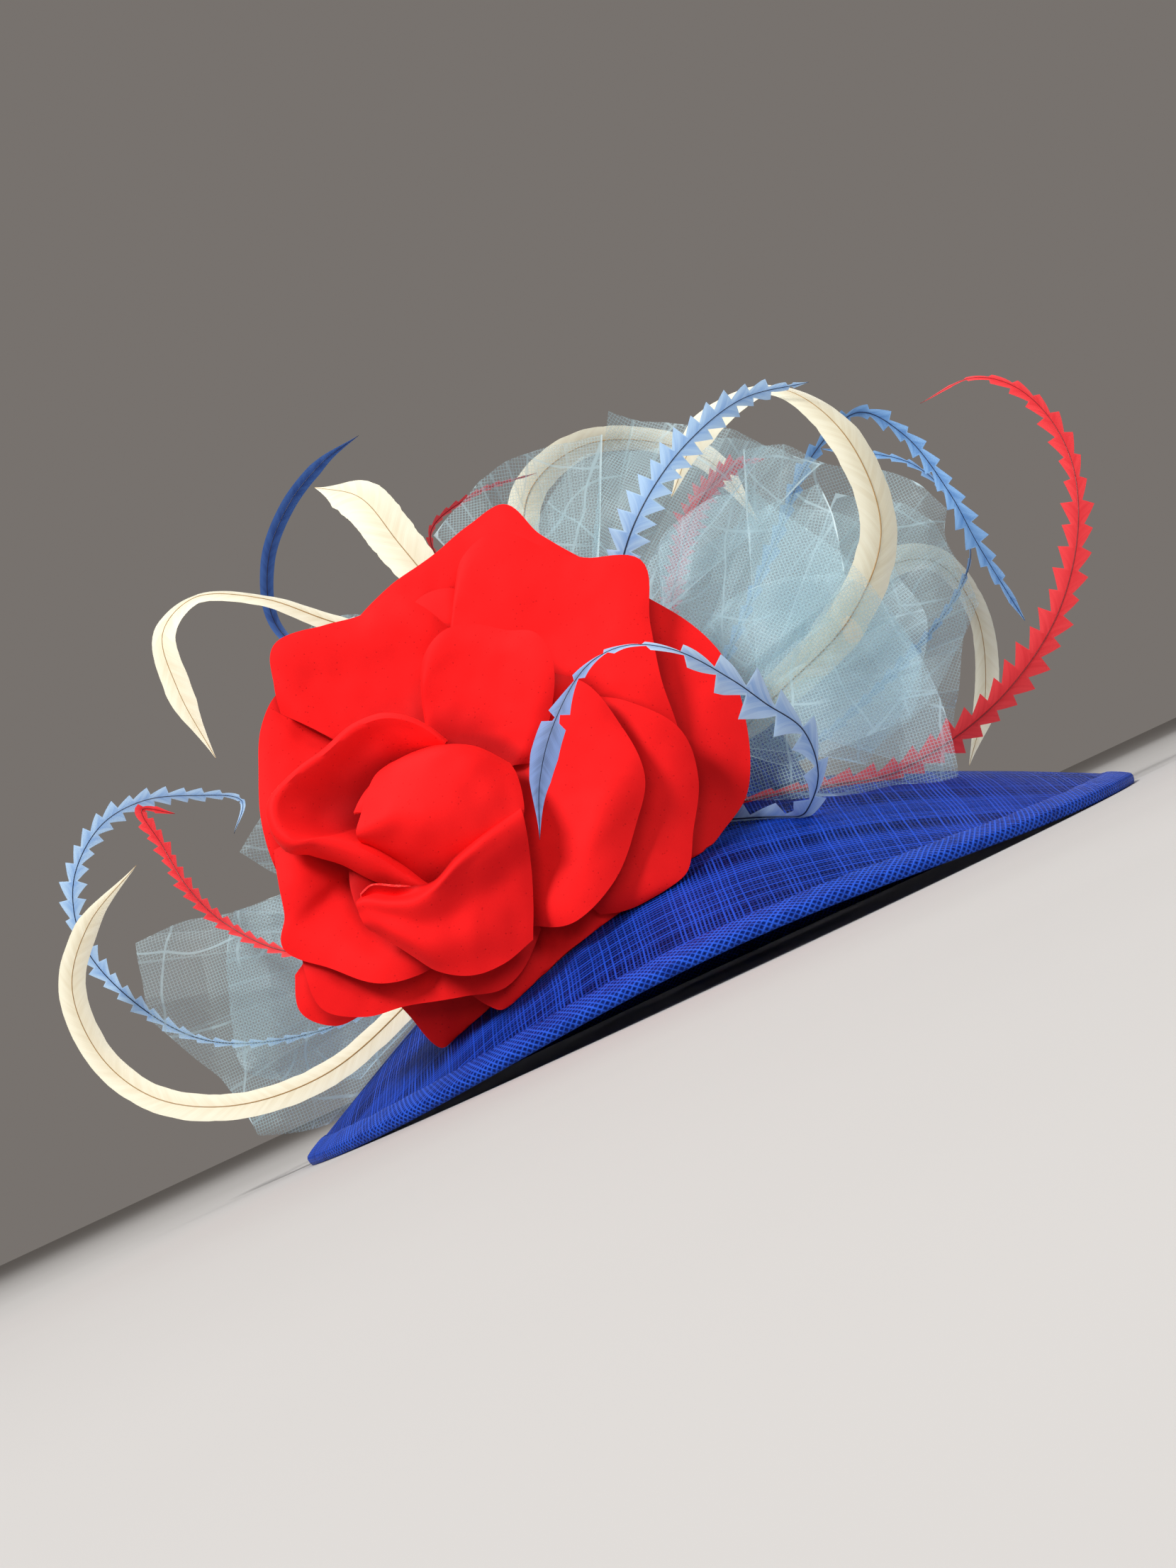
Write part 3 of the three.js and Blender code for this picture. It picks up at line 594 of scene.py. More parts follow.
def addPetal(name, surface, paintedShadeAt, *nodes):  # painted shade: 0 darkest deep in the rose to 1 unshaded at the lip
    across, along = foamSizes["across"], foamSizes["along"]
    places = [(i / across, j / along) for j in range(along + 1) for i in range(across + 1)]
    mesh = gridMesh(name, across, along, [surface(u, v) for u, v in places])
    paintedShades = [paintedShadeAt(u, v) for u, v in places]
    # the painted shade is stored as the lip attribute
    mesh.attributes.new("lip", "FLOAT", "POINT").data.foreach_set("value", paintedShades)
    piece = makeObject(name, mesh, redFoam)
    # the cut rims take the painted highlight
    mesh.materials.append(rimHighlight)
    wall = piece.modifiers.new("wall", "SOLIDIFY")
    wall.thickness = foamSizes["thickness"] * mm
    wall.offset = 0
    wall.material_offset_rim = 1
    applyModifiers(piece)
    piece.data.set_sharp_from_angle(angle=math.radians(50))
    finishPiece(piece, "foam", *nodes)


# angle and reach of the heart, the wrap and the cup together, as they lie over the other petals
heartOutline = ((106, 28), (90, 24), (65, 26), (40, 34), (20, 41), (0, 44), (-20, 46), (-31, 54), (-42, 65), (-51, 78),
                (-57, 90), (-68, 93), (-78, 94), (-86, 90), (-94, 83), (-103, 77), (-112, 71), (-124, 62), (-135, 57),
                (-147, 64), (-155, 73), (-164, 76), (-174, 73), (-184, 65), (-200, 54), (-222, 45), (-238, 38),
                (-254, 30))


def lipReach(lip, angle):
    for turn in (-360, 0, 360):
        for (a, near), (b, far) in zip(lip, lip[1:]):
            if min(a, b) <= angle + turn < max(a, b):
                return near + (far - near) * (angle + turn - a) / (b - a)
    return None


def paintedPetalShade(petal):  # painted shade: dark at the root and in the crease below each lip that lies over this petal
    lip = [Vector((angle, reach, 0)) for angle, reach in petal["lip"]]
    over = [other["lip"] for other in petals.values() if other["layer"] > petal["layer"]] + [heartOutline]
    root, low = foamSizes["rootRadius"], foamSizes["paintedCreaseShade"]
    columns = {}

    def paintedShadeAt(u, v):
        if u not in columns:
            angle, reach, _ = splinePoint(lip, 1 - u)
            edges = [lipReach(upper, angle) for upper in over]
            columns[u] = reach, [edge for edge in edges if edge]
        reach, edges = columns[u]
        radius = root + (reach - root) * v
        paintedShades = [low + (1 - low) * min(1, max(0, (radius - edge) / foamSizes["creaseReach"])) for edge in edges]
        return min([0.2 + v] + paintedShades)
    return paintedShadeAt


for seed, (name, petal) in enumerate(petals.items()):
    addPetal("foam_" + name, petalSurface(petal, seed), paintedPetalShade(petal), name)

# the cup round the heart: its lip from the lower right round the left, and how far it rolls out there
cup = {"centre": (-14, -12, 15), "start": 0.12, "hollow": 2.2, "crest": 0.8, "rollOut": 8, "rollDown": 14,
       "dent": 1.6, "dentLength": 14, "lip": (
    (10, -57, 30, 0.2), (-8, -48, 37, 0.8), (-21, -40, 41, 1.0), (-34, -34, 43, 1.0), (-48, -31, 42, 1.0),
    (-60, -32, 41, 0.7), (-69, -24, 40, 0.5), (-71, -12, 38, 0.5), (-62, 1, 35, 0.4), (-49, 12, 33, 0.4),
    (-35, 24, 34, 0.4), (-21, 28, 36, 0.4), (-7, 25, 36, 0.3), (6, 17, 32, 0.2))}


def cupSurface(u, v):
    lip = [Vector(row[:3]) for row in cup["lip"]]
    rolls = [Vector((row[3], 0, 0)) for row in cup["lip"]]
    edge, roll = splinePoint(lip, 1 - u), splinePoint(rolls, 1 - u).x
    centre = Vector(cup["centre"])
    outward = Vector((edge.x - centre.x, edge.y - centre.y, 0))
    share = min(1.0, v / cup["crest"])
    reach = cup["start"] + (1 - cup["start"]) * share
    point = centre + outward * reach
    point.z += (edge.z - centre.z) * reach ** cup["hollow"]
    if v > cup["crest"]:
        bend = (v - cup["crest"]) / (1 - cup["crest"]) * math.pi / 2
        point += outward.normalized() * cup["rollOut"] * roll * math.sin(bend)
        point.z -= cup["rollDown"] * roll * (1 - math.cos(bend))
    point += Vector((0, 0, cup["dent"] * noise.noise(point / cup["dentLength"])))
    return inRow(roseFrame @ point)


# painted shade: the cup is painted darker towards the heart, deep in the rose
addPetal("foam_petal_left_cup", cupSurface, lambda u, v: v, "petal_left_cup")

# petals given as rows of points across the petal, in the rose's frame
patch = {"dent": 0.9, "dentLength": 12}
heart = (
    ((-20, 8, 26), (-8, 13, 29), (6, 16, 31), (20, 15, 31), (36, 8, 27)),
    ((-25, 0, 36), (-13, 5, 42), (3, 8, 45), (20, 6, 44), (40, 0, 36)),
    ((-28, -10, 42), (-14, -6, 49), (3, -5, 52), (21, -8, 50), (43, -10, 41)),
    ((-30, -20, 44), (-15, -17, 51), (3, -17, 54), (21, -19, 51), (44, -18, 42)),
    ((-32, -29, 45), (-16, -25, 50), (2, -26, 52), (20, -30, 48), (42, -26, 41)),
    ((-31, -31, 41), (-16, -34, 41), (1, -38, 42), (18, -41, 40), (36, -34, 38)),
    ((-26, -33, 33), (-13, -41, 31), (3, -50, 31), (17, -50, 32), (32, -42, 33)),
)
heartLining = (
    ((-21, 4, 27), (-16, 6, 31), (-8, 8, 33)),
    ((-28, -6, 37), (-20, -3, 40), (-10, -2, 42)),
    ((-32, -14, 41), (-22, -12, 43), (-10, -12, 45)),
    ((-34, -19, 42), (-23, -18, 43), (-10, -18, 46)),
)
wrap = (
    ((41, -15, 37), (27, -28, 42), (14, -40, 44), (3, -52, 43), (-12, -53, 42), (-25, -52, 40), (-30, -56, 39)),
    ((43, -18, 43), (29, -31, 49), (16, -43, 51), (4, -55, 49), (-13, -57, 38), (-25, -56, 37), (-30, -58, 38)),
    ((45, -27, 42), (31, -37, 47), (17, -48, 48), (0, -61, 49), (-14, -62, 47), (-27, -60, 43), (-31, -61, 41)),
    ((47, -42, 35), (33, -50, 38), (19, -59, 41), (1, -70, 43), (-14, -67, 44), (-26, -64, 42), (-30, -65, 39)),
    ((48, -59, 31), (35, -67, 35), (20, -76, 39), (3, -81, 41), (-10, -76, 42), (-22, -70, 41), (-28, -69, 38)),
    ((48, -75, 28), (34, -87, 30), (20, -92, 31), (6, -90, 32), (-6, -83, 34), (-17, -76, 35), (-26, -71, 35)),
)


def patchSurface(rows):
    rows = [[Vector(point) for point in row] for row in rows]

    def pointAt(u, v):
        point = splinePoint([splinePoint(row, 1 - u) for row in rows], v)
        point.z += patch["dent"] * noise.noise(point / patch["dentLength"])
        return inRow(roseFrame @ point)
    return pointAt


# painted shade: the heart darkens towards its lower edge, the lining is painted dark throughout and darkest at its
# first row, and the wrap is painted darker along its upper edge
addPetal("foam_heart", patchSurface(heart), lambda u, v: 1 - 0.75 * v ** 5, "rose_bud")
addPetal("foam_heart_lining", patchSurface(heartLining), lambda u, v: 0.4 + 0.4 * v, "rose_bud")
addPetal("foam_petal_inner_wrap", patchSurface(wrap), lambda u, v: 0.35 + 2 * v, "petal_inner_wrap")

# the hidden pad: sections of height and radius, then a stem into the crown
pad = {"sides": 40, "sections": ((1.5, 1), (0.5, 20), (-4, 44), (-8, 50), (-13, 49), (-24, 36), (-34, 27)),
       "stemSteps": (14, 28, 42, 60)}


def padMesh(name):
    deepest = pad["sections"][-1][0]
    goal = Vector((0, 0, hatShape["neckHeight"] + hatShape["crownHeight"] / 2))
    inward = (goal - roseFrame @ Vector((0, 0, deepest))).normalized()
    turns = [2 * math.pi * k / pad["sides"] for k in range(pad["sides"])]
    rings = [[roseFrame @ Vector((radius * math.cos(t), radius * math.sin(t), height)) for t in turns]
             for height, radius in pad["sections"]]
    rings += [[point + inward * step for point in rings[-1]] for step in pad["stemSteps"]]
    count = pad["sides"]
    faces = [(j * count + k, j * count + (k + 1) % count, (j + 1) * count + (k + 1) % count, (j + 1) * count + k)
             for j in range(len(rings) - 1) for k in range(count)]
    faces.append(tuple(range(count))[::-1])
    faces.append(tuple((len(rings) - 1) * count + k for k in range(count)))
    mesh = bpy.data.meshes.new(name)
    mesh.from_pydata([inRow(point) for ring in rings for point in ring], [], faces)
    tidyShell(mesh)
    return mesh


padPiece = makeObject("foam_rose_pad", padMesh("foam_rose_pad"), redFoam)
finishPiece(padPiece, "foam", "rose_pad")
print("rose done")


# net pouf: each lobe is a few squares of net held at one corner, with straight hems that meet in sharp corners
netSizes = {"cell": 2.4, "strand": (0.06, 0.14), "strandCover": 0.5, "band": 2.0, "crease": 1.2, "gather": 14,
            "rows": 36, "column": 4.0, "fullness": 1.2, "wobble": 2.5, "wobbleLength": 40, "clear": 0.8,
            "folds": ((24, 74, 9.0, 0.2), (118, 92, 11.0, 0.45)),
            "haze": (0.12, 0.20), "pale": (0.80, 0.97, 1.0), "shade": (0.42, 0.73, 0.85)}

# hem stretches in the trimming's frame; bulge and pleat are mm, folds counts the pleats and tilt turns the weave
layerSizes = ("bulge", "pleat", "folds", "tilt", "hems")
lobes = {
    "net_front": {"gather": (22, 22, 84), "layers": (
        (12, 3.0, 3, 28, (
            ((5, 100, 84), (13, 118, 82), (32, 136, 84), (55, 158, 80)),
            ((55, 158, 80), (73, 141, 84), (89, 125, 88), (107, 107, 92), (128, 83, 97), (146, 59, 100),
             (156, 29, 100), (161, -2, 95)),
            ((161, -2, 95), (141, -8, 100), (109, -12, 108), (73, -14, 114), (56, -14, 118)))),
        (9, 4.0, 4, 61, (
            ((15, 100, 70), (60, 137, 68), (96, 154, 66)),
            ((96, 154, 66), (103, 134, 74), (106, 116, 80), (108, 97, 84), (103, 82, 88), (90, 68, 92),
             (68, 40, 100)))),
        (7, 4.0, 3, -12, (
            ((30, 62, 74), (38, 80, 78), (53, 92, 82), (77, 101, 86), (104, 102, 88)),
            ((104, 102, 88), (130, 84, 90), (145, 59, 92), (141, 32, 94), (120, 20, 96), (80, 4, 104)))),
        (5, 5.0, 4, 8, (
            ((20, 92, 50), (14, 128, 48), (40, 150, 46), (78, 148, 44)),
            ((78, 148, 44), (112, 138, 48), (134, 116, 54)),
            ((134, 116, 54), (150, 82, 62), (140, 40, 76), (118, 6, 88)))),
    )},
    "net_top": {"gather": (-28, 60, -5), "layers": (
        (-4, 4.0, 3, 40, (
            ((-113, 144, -25), (-98, 164, -24), (-78, 180, -22), (-54, 191, -20), (-18, 197, -18)),)),
        (3, 3.0, 3, -18, (
            ((-20, 130, 0), (-19, 172, -4), (-15, 213, -8)), ((-15, 213, -8), (37, 199, -8), (74, 188, -10)))),
        (-6, 5.0, 4, 75, (
            ((-60, 150, -34), (-30, 190, -34), (10, 196, -32), (60, 196, -30), (104, 184, -28)),)),
    )},
    "net_right": {"gather": (70, 45, -10), "layers": (
        (6, 4.0, 3, 20, (
            ((60, 190, -22), (82, 190, -22), (104, 184, -24), (135, 182, -25), (158, 172, -26), (174, 159, -26)),
            ((174, 159, -26), (172, 140, -25), (190, 104, -22)),
            ((190, 104, -22), (177, 76, -18), (158, 46, -12), (128, 20, -6)))),
        (3, 5.0, 4, 66, (
            ((112, 168, -34), (152, 164, -38), (168, 152, -38)),
            ((168, 152, -38), (183, 118, -36), (180, 70, -30), (176, 40, -22), (172, 4, -10)))),
    )},
    "net_left_upper": {"gather": (-75, 0, -5), "layers": (
        (4, 3.0, 2, 12, (
            ((-155, 96, -8), (-180, 86, -4)), ((-180, 86, -4), (-192, 70, 0), (-189, 52, 4), (-178, 40, 6)))),
        (1, 3.0, 2, 50, (
            ((-140, 100, -14), (-170, 96, -12)), ((-170, 96, -12), (-184, 78, -8), (-182, 48, -4)))),
    )},
    "net_left": {"gather": (-74, -29, 10), "layers": (
        (4, 3.0, 2, 35, (
            ((-170, 26, 0), (-195, -2, 4), (-213, -35, 6)), ((-213, -35, 6), (-190, -48, 6), (-160, -50, 6)))),
    )},
    "net_lower_left": {"gather": (-76, -72, 12), "layers": (
        (4, 3.0, 3, 22, (
            ((-190, -56, -6), (-222, -67, -6), (-250, -72, -8), (-273, -84, -10)),
            ((-273, -84, -10), (-267, -104, -12), (-262, -127, -12)),
            ((-262, -127, -12), (-244, -146, -12), (-220, -168, -12), (-204, -188, -12)),
            ((-204, -188, -12), (-173, -184, -10), (-140, -170, -6)))),
        (1, 4.0, 3, -30, (
            ((-162, -45, -14), (-204, -60, -16), (-222, -66, -16)),
            ((-222, -66, -16), (-226, -110, -18), (-214, -152, -18), (-186, -160, -16), (-150, -158, -10)))),
    )},
}


def netLook(name, settings):
    look, tree, shader = newLook(name)
    cloth = clothSpace(tree)
    patchy = cloudNoise(tree, cloth, 14.0, 2.0)
    place = vectorMaths(tree, "ADD", cloth, vectorMaths(tree, "SCALE", patchy["Color"], 5.0 * mm))
    x, y = (maths(tree, "DIVIDE", splitAxes(tree, place)[axis], settings["cell"] * mm) for axis in "XY")
    strands = []
    for coordinate in (maths(tree, "ADD", x, y), maths(tree, "SUBTRACT", x, y)):
        wave = maths(tree, "PINGPONG", coordinate, 0.5)
        strands.append(smoothStep(tree, wave, *settings["strand"], (settings["strandCover"], 0.0)))
    haze = smoothStep(tree, patchy[0], 0.3, 0.75, settings["haze"])

    def line(gap, narrow, width, strength):
        return smoothStep(tree, gap, width * narrow * mm, width * mm, (strength, 0.0))
    folded = maths(tree, "MAXIMUM", line(attribute(tree, "edgeGap"), 0.4, settings["band"], 0.9),
                   line(attribute(tree, "creaseGap"), 0.4, settings["crease"], 0.4))
    worn = smoothStep(tree, patchy[0], 0.4, 0.55)
    for angle, spacing, _, phase in settings["folds"]:
        aim = (math.cos(math.radians(angle)), math.sin(math.radians(angle)), 0)
        reach = maths(tree, "MULTIPLY_ADD", patchy[0], 30 * mm, vectorMaths(tree, "DOT_PRODUCT", place, aim))
        wave = maths(tree, "PINGPONG", maths(tree, "ADD", maths(tree, "DIVIDE", reach, spacing * mm), phase), 0.5)
        gap = maths(tree, "MULTIPLY", maths(tree, "MINIMUM", wave, maths(tree, "SUBTRACT", 0.5, wave)), spacing * mm)
        crest = line(gap, 0.3, settings["crease"], 0.6)
        folded = maths(tree, "MAXIMUM", folded, maths(tree, "MULTIPLY", crest, worn))
    cover = maths(tree, "MAXIMUM", maths(tree, "MAXIMUM", maths(tree, "MAXIMUM", *strands), haze), folded)
    colour = mixColours(tree, maths(tree, "MAXIMUM", patchy[0], folded), settings["shade"], settings["pale"])
    setInputs(tree, shader, {"Base Color": colour, "Roughness": 0.45, "Sheen Weight": 0.3})
    glow = addNode(tree, "ShaderNodeBsdfTranslucent", {"Color": colour}).outputs[0]
    sheer = addNode(tree, "ShaderNodeMixShader", {0: 0.4, 1: shader.outputs[0], 2: glow}).outputs[0]
    clear = addNode(tree, "ShaderNodeBsdfTransparent").outputs[0]
    net = addNode(tree, "ShaderNodeMixShader", {0: cover, 1: clear, 2: sheer}).outputs[0]
    tree.links.new(net, tree.nodes["Material Output"].inputs["Surface"])
    return look


def hemLine(stretches):  # hem points about one column apart, with every corner kept
    line = []
    for stretch in stretches:
        points = [Vector(point) for point in stretch]
        run = sum((b - a).length for a, b in zip(points, points[1:]))
        steps = max(4, round(run / netSizes["column"]))
        line += [splinePoint(points, k / steps) for k in range(0 if not line else 1, steps + 1)]
    return line


def creaseLines(columns, folds, dice):  # columns that are folded, each with its height above or below the lobe
    count = folds * 2 + 1
    lines = {0: 0.0, columns: 0.0}
    for k in range(1, count + 1):
        column = round(columns * (k + dice.uniform(-0.36, 0.36)) / (count + 1))
        lines[min(max(column, 1), columns - 1)] = (1 if k % 2 else -1) * dice.uniform(0.35, 1.0)
    return sorted(lines.items())


def netLayer(name, gather, layer, seed):
    dice = random.Random(seed)
    gather = Vector(gather)
    hem = hemLine(layer["hems"])
    columns, rows = len(hem) - 1, netSizes["rows"]
    spread = (hem[-1] - hem[0]).normalized()
    creases = creaseLines(columns, layer["folds"], dice)
    tilt = math.radians(layer["tilt"])
    heights, nearest = [], []
    for i in range(columns + 1):
        for (a, low), (b, high) in zip(creases, creases[1:]):
            if a <= i <= b:
                heights.append(low + (high - low) * (i - a) / (b - a))
                nearest.append(min(abs(i - a) if a else columns, abs(b - i) if b < columns else columns))
                break
    vertices, flat, gaps, creaseGaps = [], [], [], []
    for j in range(rows + 1):
        v = j / rows
        lie = v * (1.5 - 0.9 * v)
        for i, tip in enumerate(hem):
            start = gather + spread * ((i / columns - 0.5) * netSizes["gather"])
            point = start.lerp(tip, v)
            point.z += layer["bulge"] * math.sin(math.pi * v) + 1.5 * layer["pleat"] * lie * heights[i]
            wobble = noise.noise(Vector((point.x, point.y, seed * 9.0)) / netSizes["wobbleLength"])
            point.z += netSizes["wobble"] * v * wobble
            spot = (point.x * math.cos(tilt) - point.y * math.sin(tilt),
                    point.x * math.sin(tilt) + point.y * math.cos(tilt))
            for angle, spacing, height, phase in netSizes["folds"]:
                reach = spot[0] * math.cos(math.radians(angle)) + spot[1] * math.sin(math.radians(angle))
                place = (reach / spacing + phase) % 1
                point.z += 2 * height * v * (min(place, 1 - place) - 0.25) * 2
            vertices.append(inRow(keepOff(trimFrame @ point, netSizes["clear"])))
            flat.append(spot)
            side = min((point - start.lerp(hem[end], v)).length for end in (0, columns)) if 0 < i < columns else 0
            gaps.append(min((tip - point).length, side) * mm)
            creaseGaps.append((nearest[i] * netSizes["column"] * v + 2 * (1 - v)) * mm)
    mesh = gridMesh(name, columns, rows, vertices)
    cloth = mesh.uv_layers.new(name="clothUV")
    for loop in mesh.loops:
        x, y = flat[loop.vertex_index]
        cloth.data[loop.index].uv = (x * mm, y * mm)
    mesh.attributes.new("edgeGap", "FLOAT", "POINT").data.foreach_set("value", gaps)
    mesh.attributes.new("creaseGap", "FLOAT", "POINT").data.foreach_set("value", creaseGaps)
    return mesh, gather, hem


def flatPattern(gather, hem):  # a lobe's fan laid out flat: width, length and area of the cut
    arms = [point - gather for point in hem]
    turns, area = [0.0], 0.0
    for a, b in zip(arms, arms[1:]):
        turns.append(turns[-1] + a.angle(b))
        area += a.cross(b).length / 2
    corners = [(0.0, 0.0)]
    for arm, turn in zip(arms, turns):
        aside = turn - turns[-1] / 2
        corners.append((arm.length * math.sin(aside), arm.length * math.cos(aside)))
    width, length = (max(side) - min(side) for side in zip(*corners))
    fullness = netSizes["fullness"]  # what the pleats take up
    return width * fullness * mm, length * mm, area * fullness * mm ** 2


paleNet = netLook("pale net", netSizes)
for seed, (name, lobe) in enumerate(lobes.items()):
    for number, row in enumerate(lobe["layers"]):
        pieceName = f"{name}_layer{number + 1}"
        mesh, gather, hem = netLayer(pieceName, lobe["gather"], dict(zip(layerSizes, row)), seed * 7 + number)
        piece = makeObject(pieceName, mesh, paleNet)
        width, length, area = flatPattern(gather, hem)
        mesh.set_sharp_from_angle(angle=math.radians(15))
        finishPiece(piece, "net", name)
print("net done")


# feathers: ivory and deep blue ones uncut, the other blue ones and the red ones cut to arrow heads
kinds = {
    "ivory": {"dye": "ivory", "teeth": 0, "notch": 1.0, "plainTip": 0.04, "fray": 0.16, "arch": 0.16, "quill": 0.5},
    "blue": {"dye": "paleBlue", "teeth": 18, "notch": 0.22, "plainTip": 0.04, "fray": 0.0, "arch": 0.08, "quill": 0.5},
    "red": {"dye": "red", "teeth": 30, "notch": 0.36, "plainTip": 0.04, "fray": 0.0, "arch": 0.08, "quill": 0.55},
}
quillSizes = {"steps": 120, "toothSteps": 10, "samples": 600, "look": 0.002, "clear": 1.2,
              "rootWidth": 0.25, "rootTaper": 8, "tipWidth": 0.04, "tipTaper": 9}
dyes = {
    "ivory": {"light": (0.98, 0.94, 0.74), "dark": (0.84, 0.76, 0.54), "quill": (0.50, 0.29, 0.09)},
    "paleBlue": {"light": (0.48, 0.70, 0.96), "dark": (0.24, 0.44, 0.80), "quill": (0.012, 0.03, 0.08)},
    # the over-rose feather's leaf at its end is painted darker, as painted shade
    "paleWithShadedTip": {"light": (0.50, 0.72, 0.96), "dark": (0.24, 0.44, 0.80), "quill": (0.012, 0.03, 0.08),
                   "tip": (0.20, 0.33, 0.66), "tipFrom": (0.235, 0.285)},
    "skyBlue": {"light": (0.26, 0.50, 0.86), "dark": (0.09, 0.25, 0.58), "quill": (0.01, 0.03, 0.10)},
    "deepBlue": {"light": (0.06, 0.17, 0.52), "dark": (0.02, 0.07, 0.30), "quill": (0.005, 0.012, 0.06)},
    "red": {"light": (1.0, 0.045, 0.055), "dark": (0.80, 0.012, 0.022), "quill": (0.32, 0.004, 0.01)},
}

# route rows: x, y, z, vane width and face turn
feathers = {
    "ivory_feather_front": {"route": (
        (40, 8, 68, 8, 0), (72, 40, 88, 22, 10), (110, 80, 88, 25, 20), (126, 126, 86, 25, 30), (106, 178, 82, 24, 30),
        (72, 203, 68, 18, 60), (36, 186, 50, 20, 20), (20, 152, 40, 14, 10))},
    "ivory_feather_right": {"route": (
        (70, 30, -30, 8, 0), (110, 95, -50, 20, 10), (140, 130, -62, 22, 30), (172, 136, -72, 22, 60),
        (196, 108, -80, 20, 60), (201, 60, -80, 18, 40), (190, 18, -70, 10, 30))},
    "ivory_feather_top": {"route": (
        (-35, 40, -50, 8, 0), (-60, 115, -55, 20, 10), (-62, 175, -62, 22, 20), (-34, 203, -68, 20, 40),
        (0, 208, -70, 18, 50), (42, 195, -68, 16, 30), (70, 158, -60, 10, 10))},
    "ivory_feather_upper_left": {"route": (
        (-45, 35, 25, 8, 0), (-95, 92, 34, 20, 10), (-126, 130, 24, 28, 10), (-150, 159, 8, 30, 20),
        (-178, 169, -12, 15, 40))},
    "ivory_feather_left": {"route": (
        (-45, 30, 40, 8, 0), (-110, 68, 54, 13, 20), (-160, 84, 60, 14, 40), (-193, 95, 62, 15, 60),
        (-228, 95, 66, 16, 60), (-243, 76, 72, 17, 30), (-234, 46, 76, 16, 10), (-213, 10, 80, 8, 0))},
    "ivory_feather_lower_left": {"route": (
        (-62, -50, 40, 8, 0), (-95, -88, 56, 14, 20), (-118, -117, 60, 16, 30), (-160, -152, 46, 17, 30),
        (-214, -170, 26, 17, 30), (-258, -166, 14, 16, 20), (-289, -144, 6, 16, 20), (-305, -108, 4, 16, 10),
        (-296, -74, 6, 14, 10), (-270, -42, 8, 7, 0))},
    "blue_feather_front": {"teeth": 22, "notch": 0.26, "route": (
        (-10, 50, 50, 6, 0), (-8, 86, 82, 16, 0), (-4, 113, 92, 24, 0), (7, 139, 96, 24, 0), (28, 170, 88, 22, 10),
        (56, 193, 86, 17, 30), (90, 202, 84, 6, 30))},
    "blue_feather_right": {"dye": "skyBlue", "teeth": 28, "notch": 0.3, "route": (
        (40, 50, -35, 6, 0), (76, 136, -42, 12, 20), (100, 192, -42, 13, 40), (126, 216, -40, 13, 50),
        (151, 202, -36, 14, 40), (175, 169, -32, 15, 20), (192, 138, -34, 16, 10), (217, 96, -34, 10, 0))},
    "blue_feather_loop": {"dye": "skyBlue", "teeth": 30, "notch": 0.3, "route": (
        (70, 5, -38, 6, 0), (115, 40, -44, 9, 20), (165, 90, -50, 10, 40), (184, 118, -52, 10, 60),
        (190, 138, -54, 10, 70), (184, 162, -56, 10, 60), (158, 190, -58, 9, 40), (105, 200, -60, 6, 20))},
    "blue_feather_over_rose": {"dye": "paleWithShadedTip", "teeth": 19, "notch": 0.12, "plainTip": 0.15, "route": (
        (8, -12, 86, 6, 0), (44, -34, 112, 16, 30), (77, -29, 134, 20, 40), (89, -7, 150, 22, 50),
        (82, 15, 162, 27, 30), (63, 27, 176, 32, 20), (47, 37, 186, 29, 20), (20, 49, 200, 13, 50),
        (-2, 50, 205, 8, 60), (-19, 40, 210, 9, 40), (-34, 13, 210, 13, 20), (-40, -12, 208, 14, 10),
        (-40, -38, 206, 4, 0))},
    "blue_feather_lower_left": {"teeth": 48, "notch": 0.3, "route": (
        (-60, -50, -10, 5, 0), (-110, -95, -25, 5, 20), (-158, -126, -36, 6, 30), (-209, -139, -36, 6, 30),
        (-245, -136, -32, 7, 20), (-281, -114, -26, 11, 10), (-306, -84, -22, 15, 0), (-311, -50, -18, 16, 0),
        (-296, -20, -14, 16, 10), (-272, -6, -10, 14, 20), (-243, -3, -8, 12, 30), (-216, -6, -8, 9, 20),
        (-220, -24, -8, 5, 0))},
    "blue_feather_upper_left": {"dye": "deepBlue", "teeth": 0, "route": (
        (-55, 20, -30, 6, 60), (-150, 62, -28, 8, 70), (-200, 92, -26, 9, 50), (-206, 128, -24, 9, 40),
        (-195, 160, -22, 9, 40), (-175, 185, -20, 8, 40), (-155, 200, -20, 5, 40))},
    "red_feather_right": {"teeth": 36, "notch": 0.34, "route": (
        (0, -34, 80, 5, 0), (46, -26, 92, 7, 10), (90, -12, 90, 10, 10), (121, -3, 82, 16, 20), (163, 20, 62, 24, 20),
        (197, 50, 44, 26, 20), (224, 90, 30, 24, 10), (237, 135, 20, 20, 10), (236, 175, 12, 18, 10),
        (223, 205, 4, 17, 20), (205, 222, -2, 13, 30), (185, 227, -8, 7, 40), (158, 215, -16, 5, 40))},
    "red_feather_left": {"teeth": 34, "route": (
        (-60, -38, 38, 5, 0), (-120, -78, 50, 6, 20), (-176, -89, 46, 8, 30), (-216, -74, 32, 11, 40),
        (-238, -55, 24, 12, 40), (-255, -31, 14, 12, 30), (-267, -12, 10, 12, 20), (-249, -14, 10, 9, 10))},
    "red_feather_top": {"route": (
        (5, 40, -25, 5, 0), (18, 98, -32, 14, 10), (24, 128, -34, 20, 10), (31, 154, -38, 22, 10),
        (42, 174, -42, 22, 20), (56, 187, -46, 15, 30), (74, 192, -50, 6, 30))},
    "red_feather_upper_left": {"route": (
        (-50, 40, -34, 5, 40), (-98, 112, -38, 10, 60), (-116, 148, -38, 10, 70), (-90, 170, -36, 10, 75),
        (-56, 181, -34, 5, 70))},
}


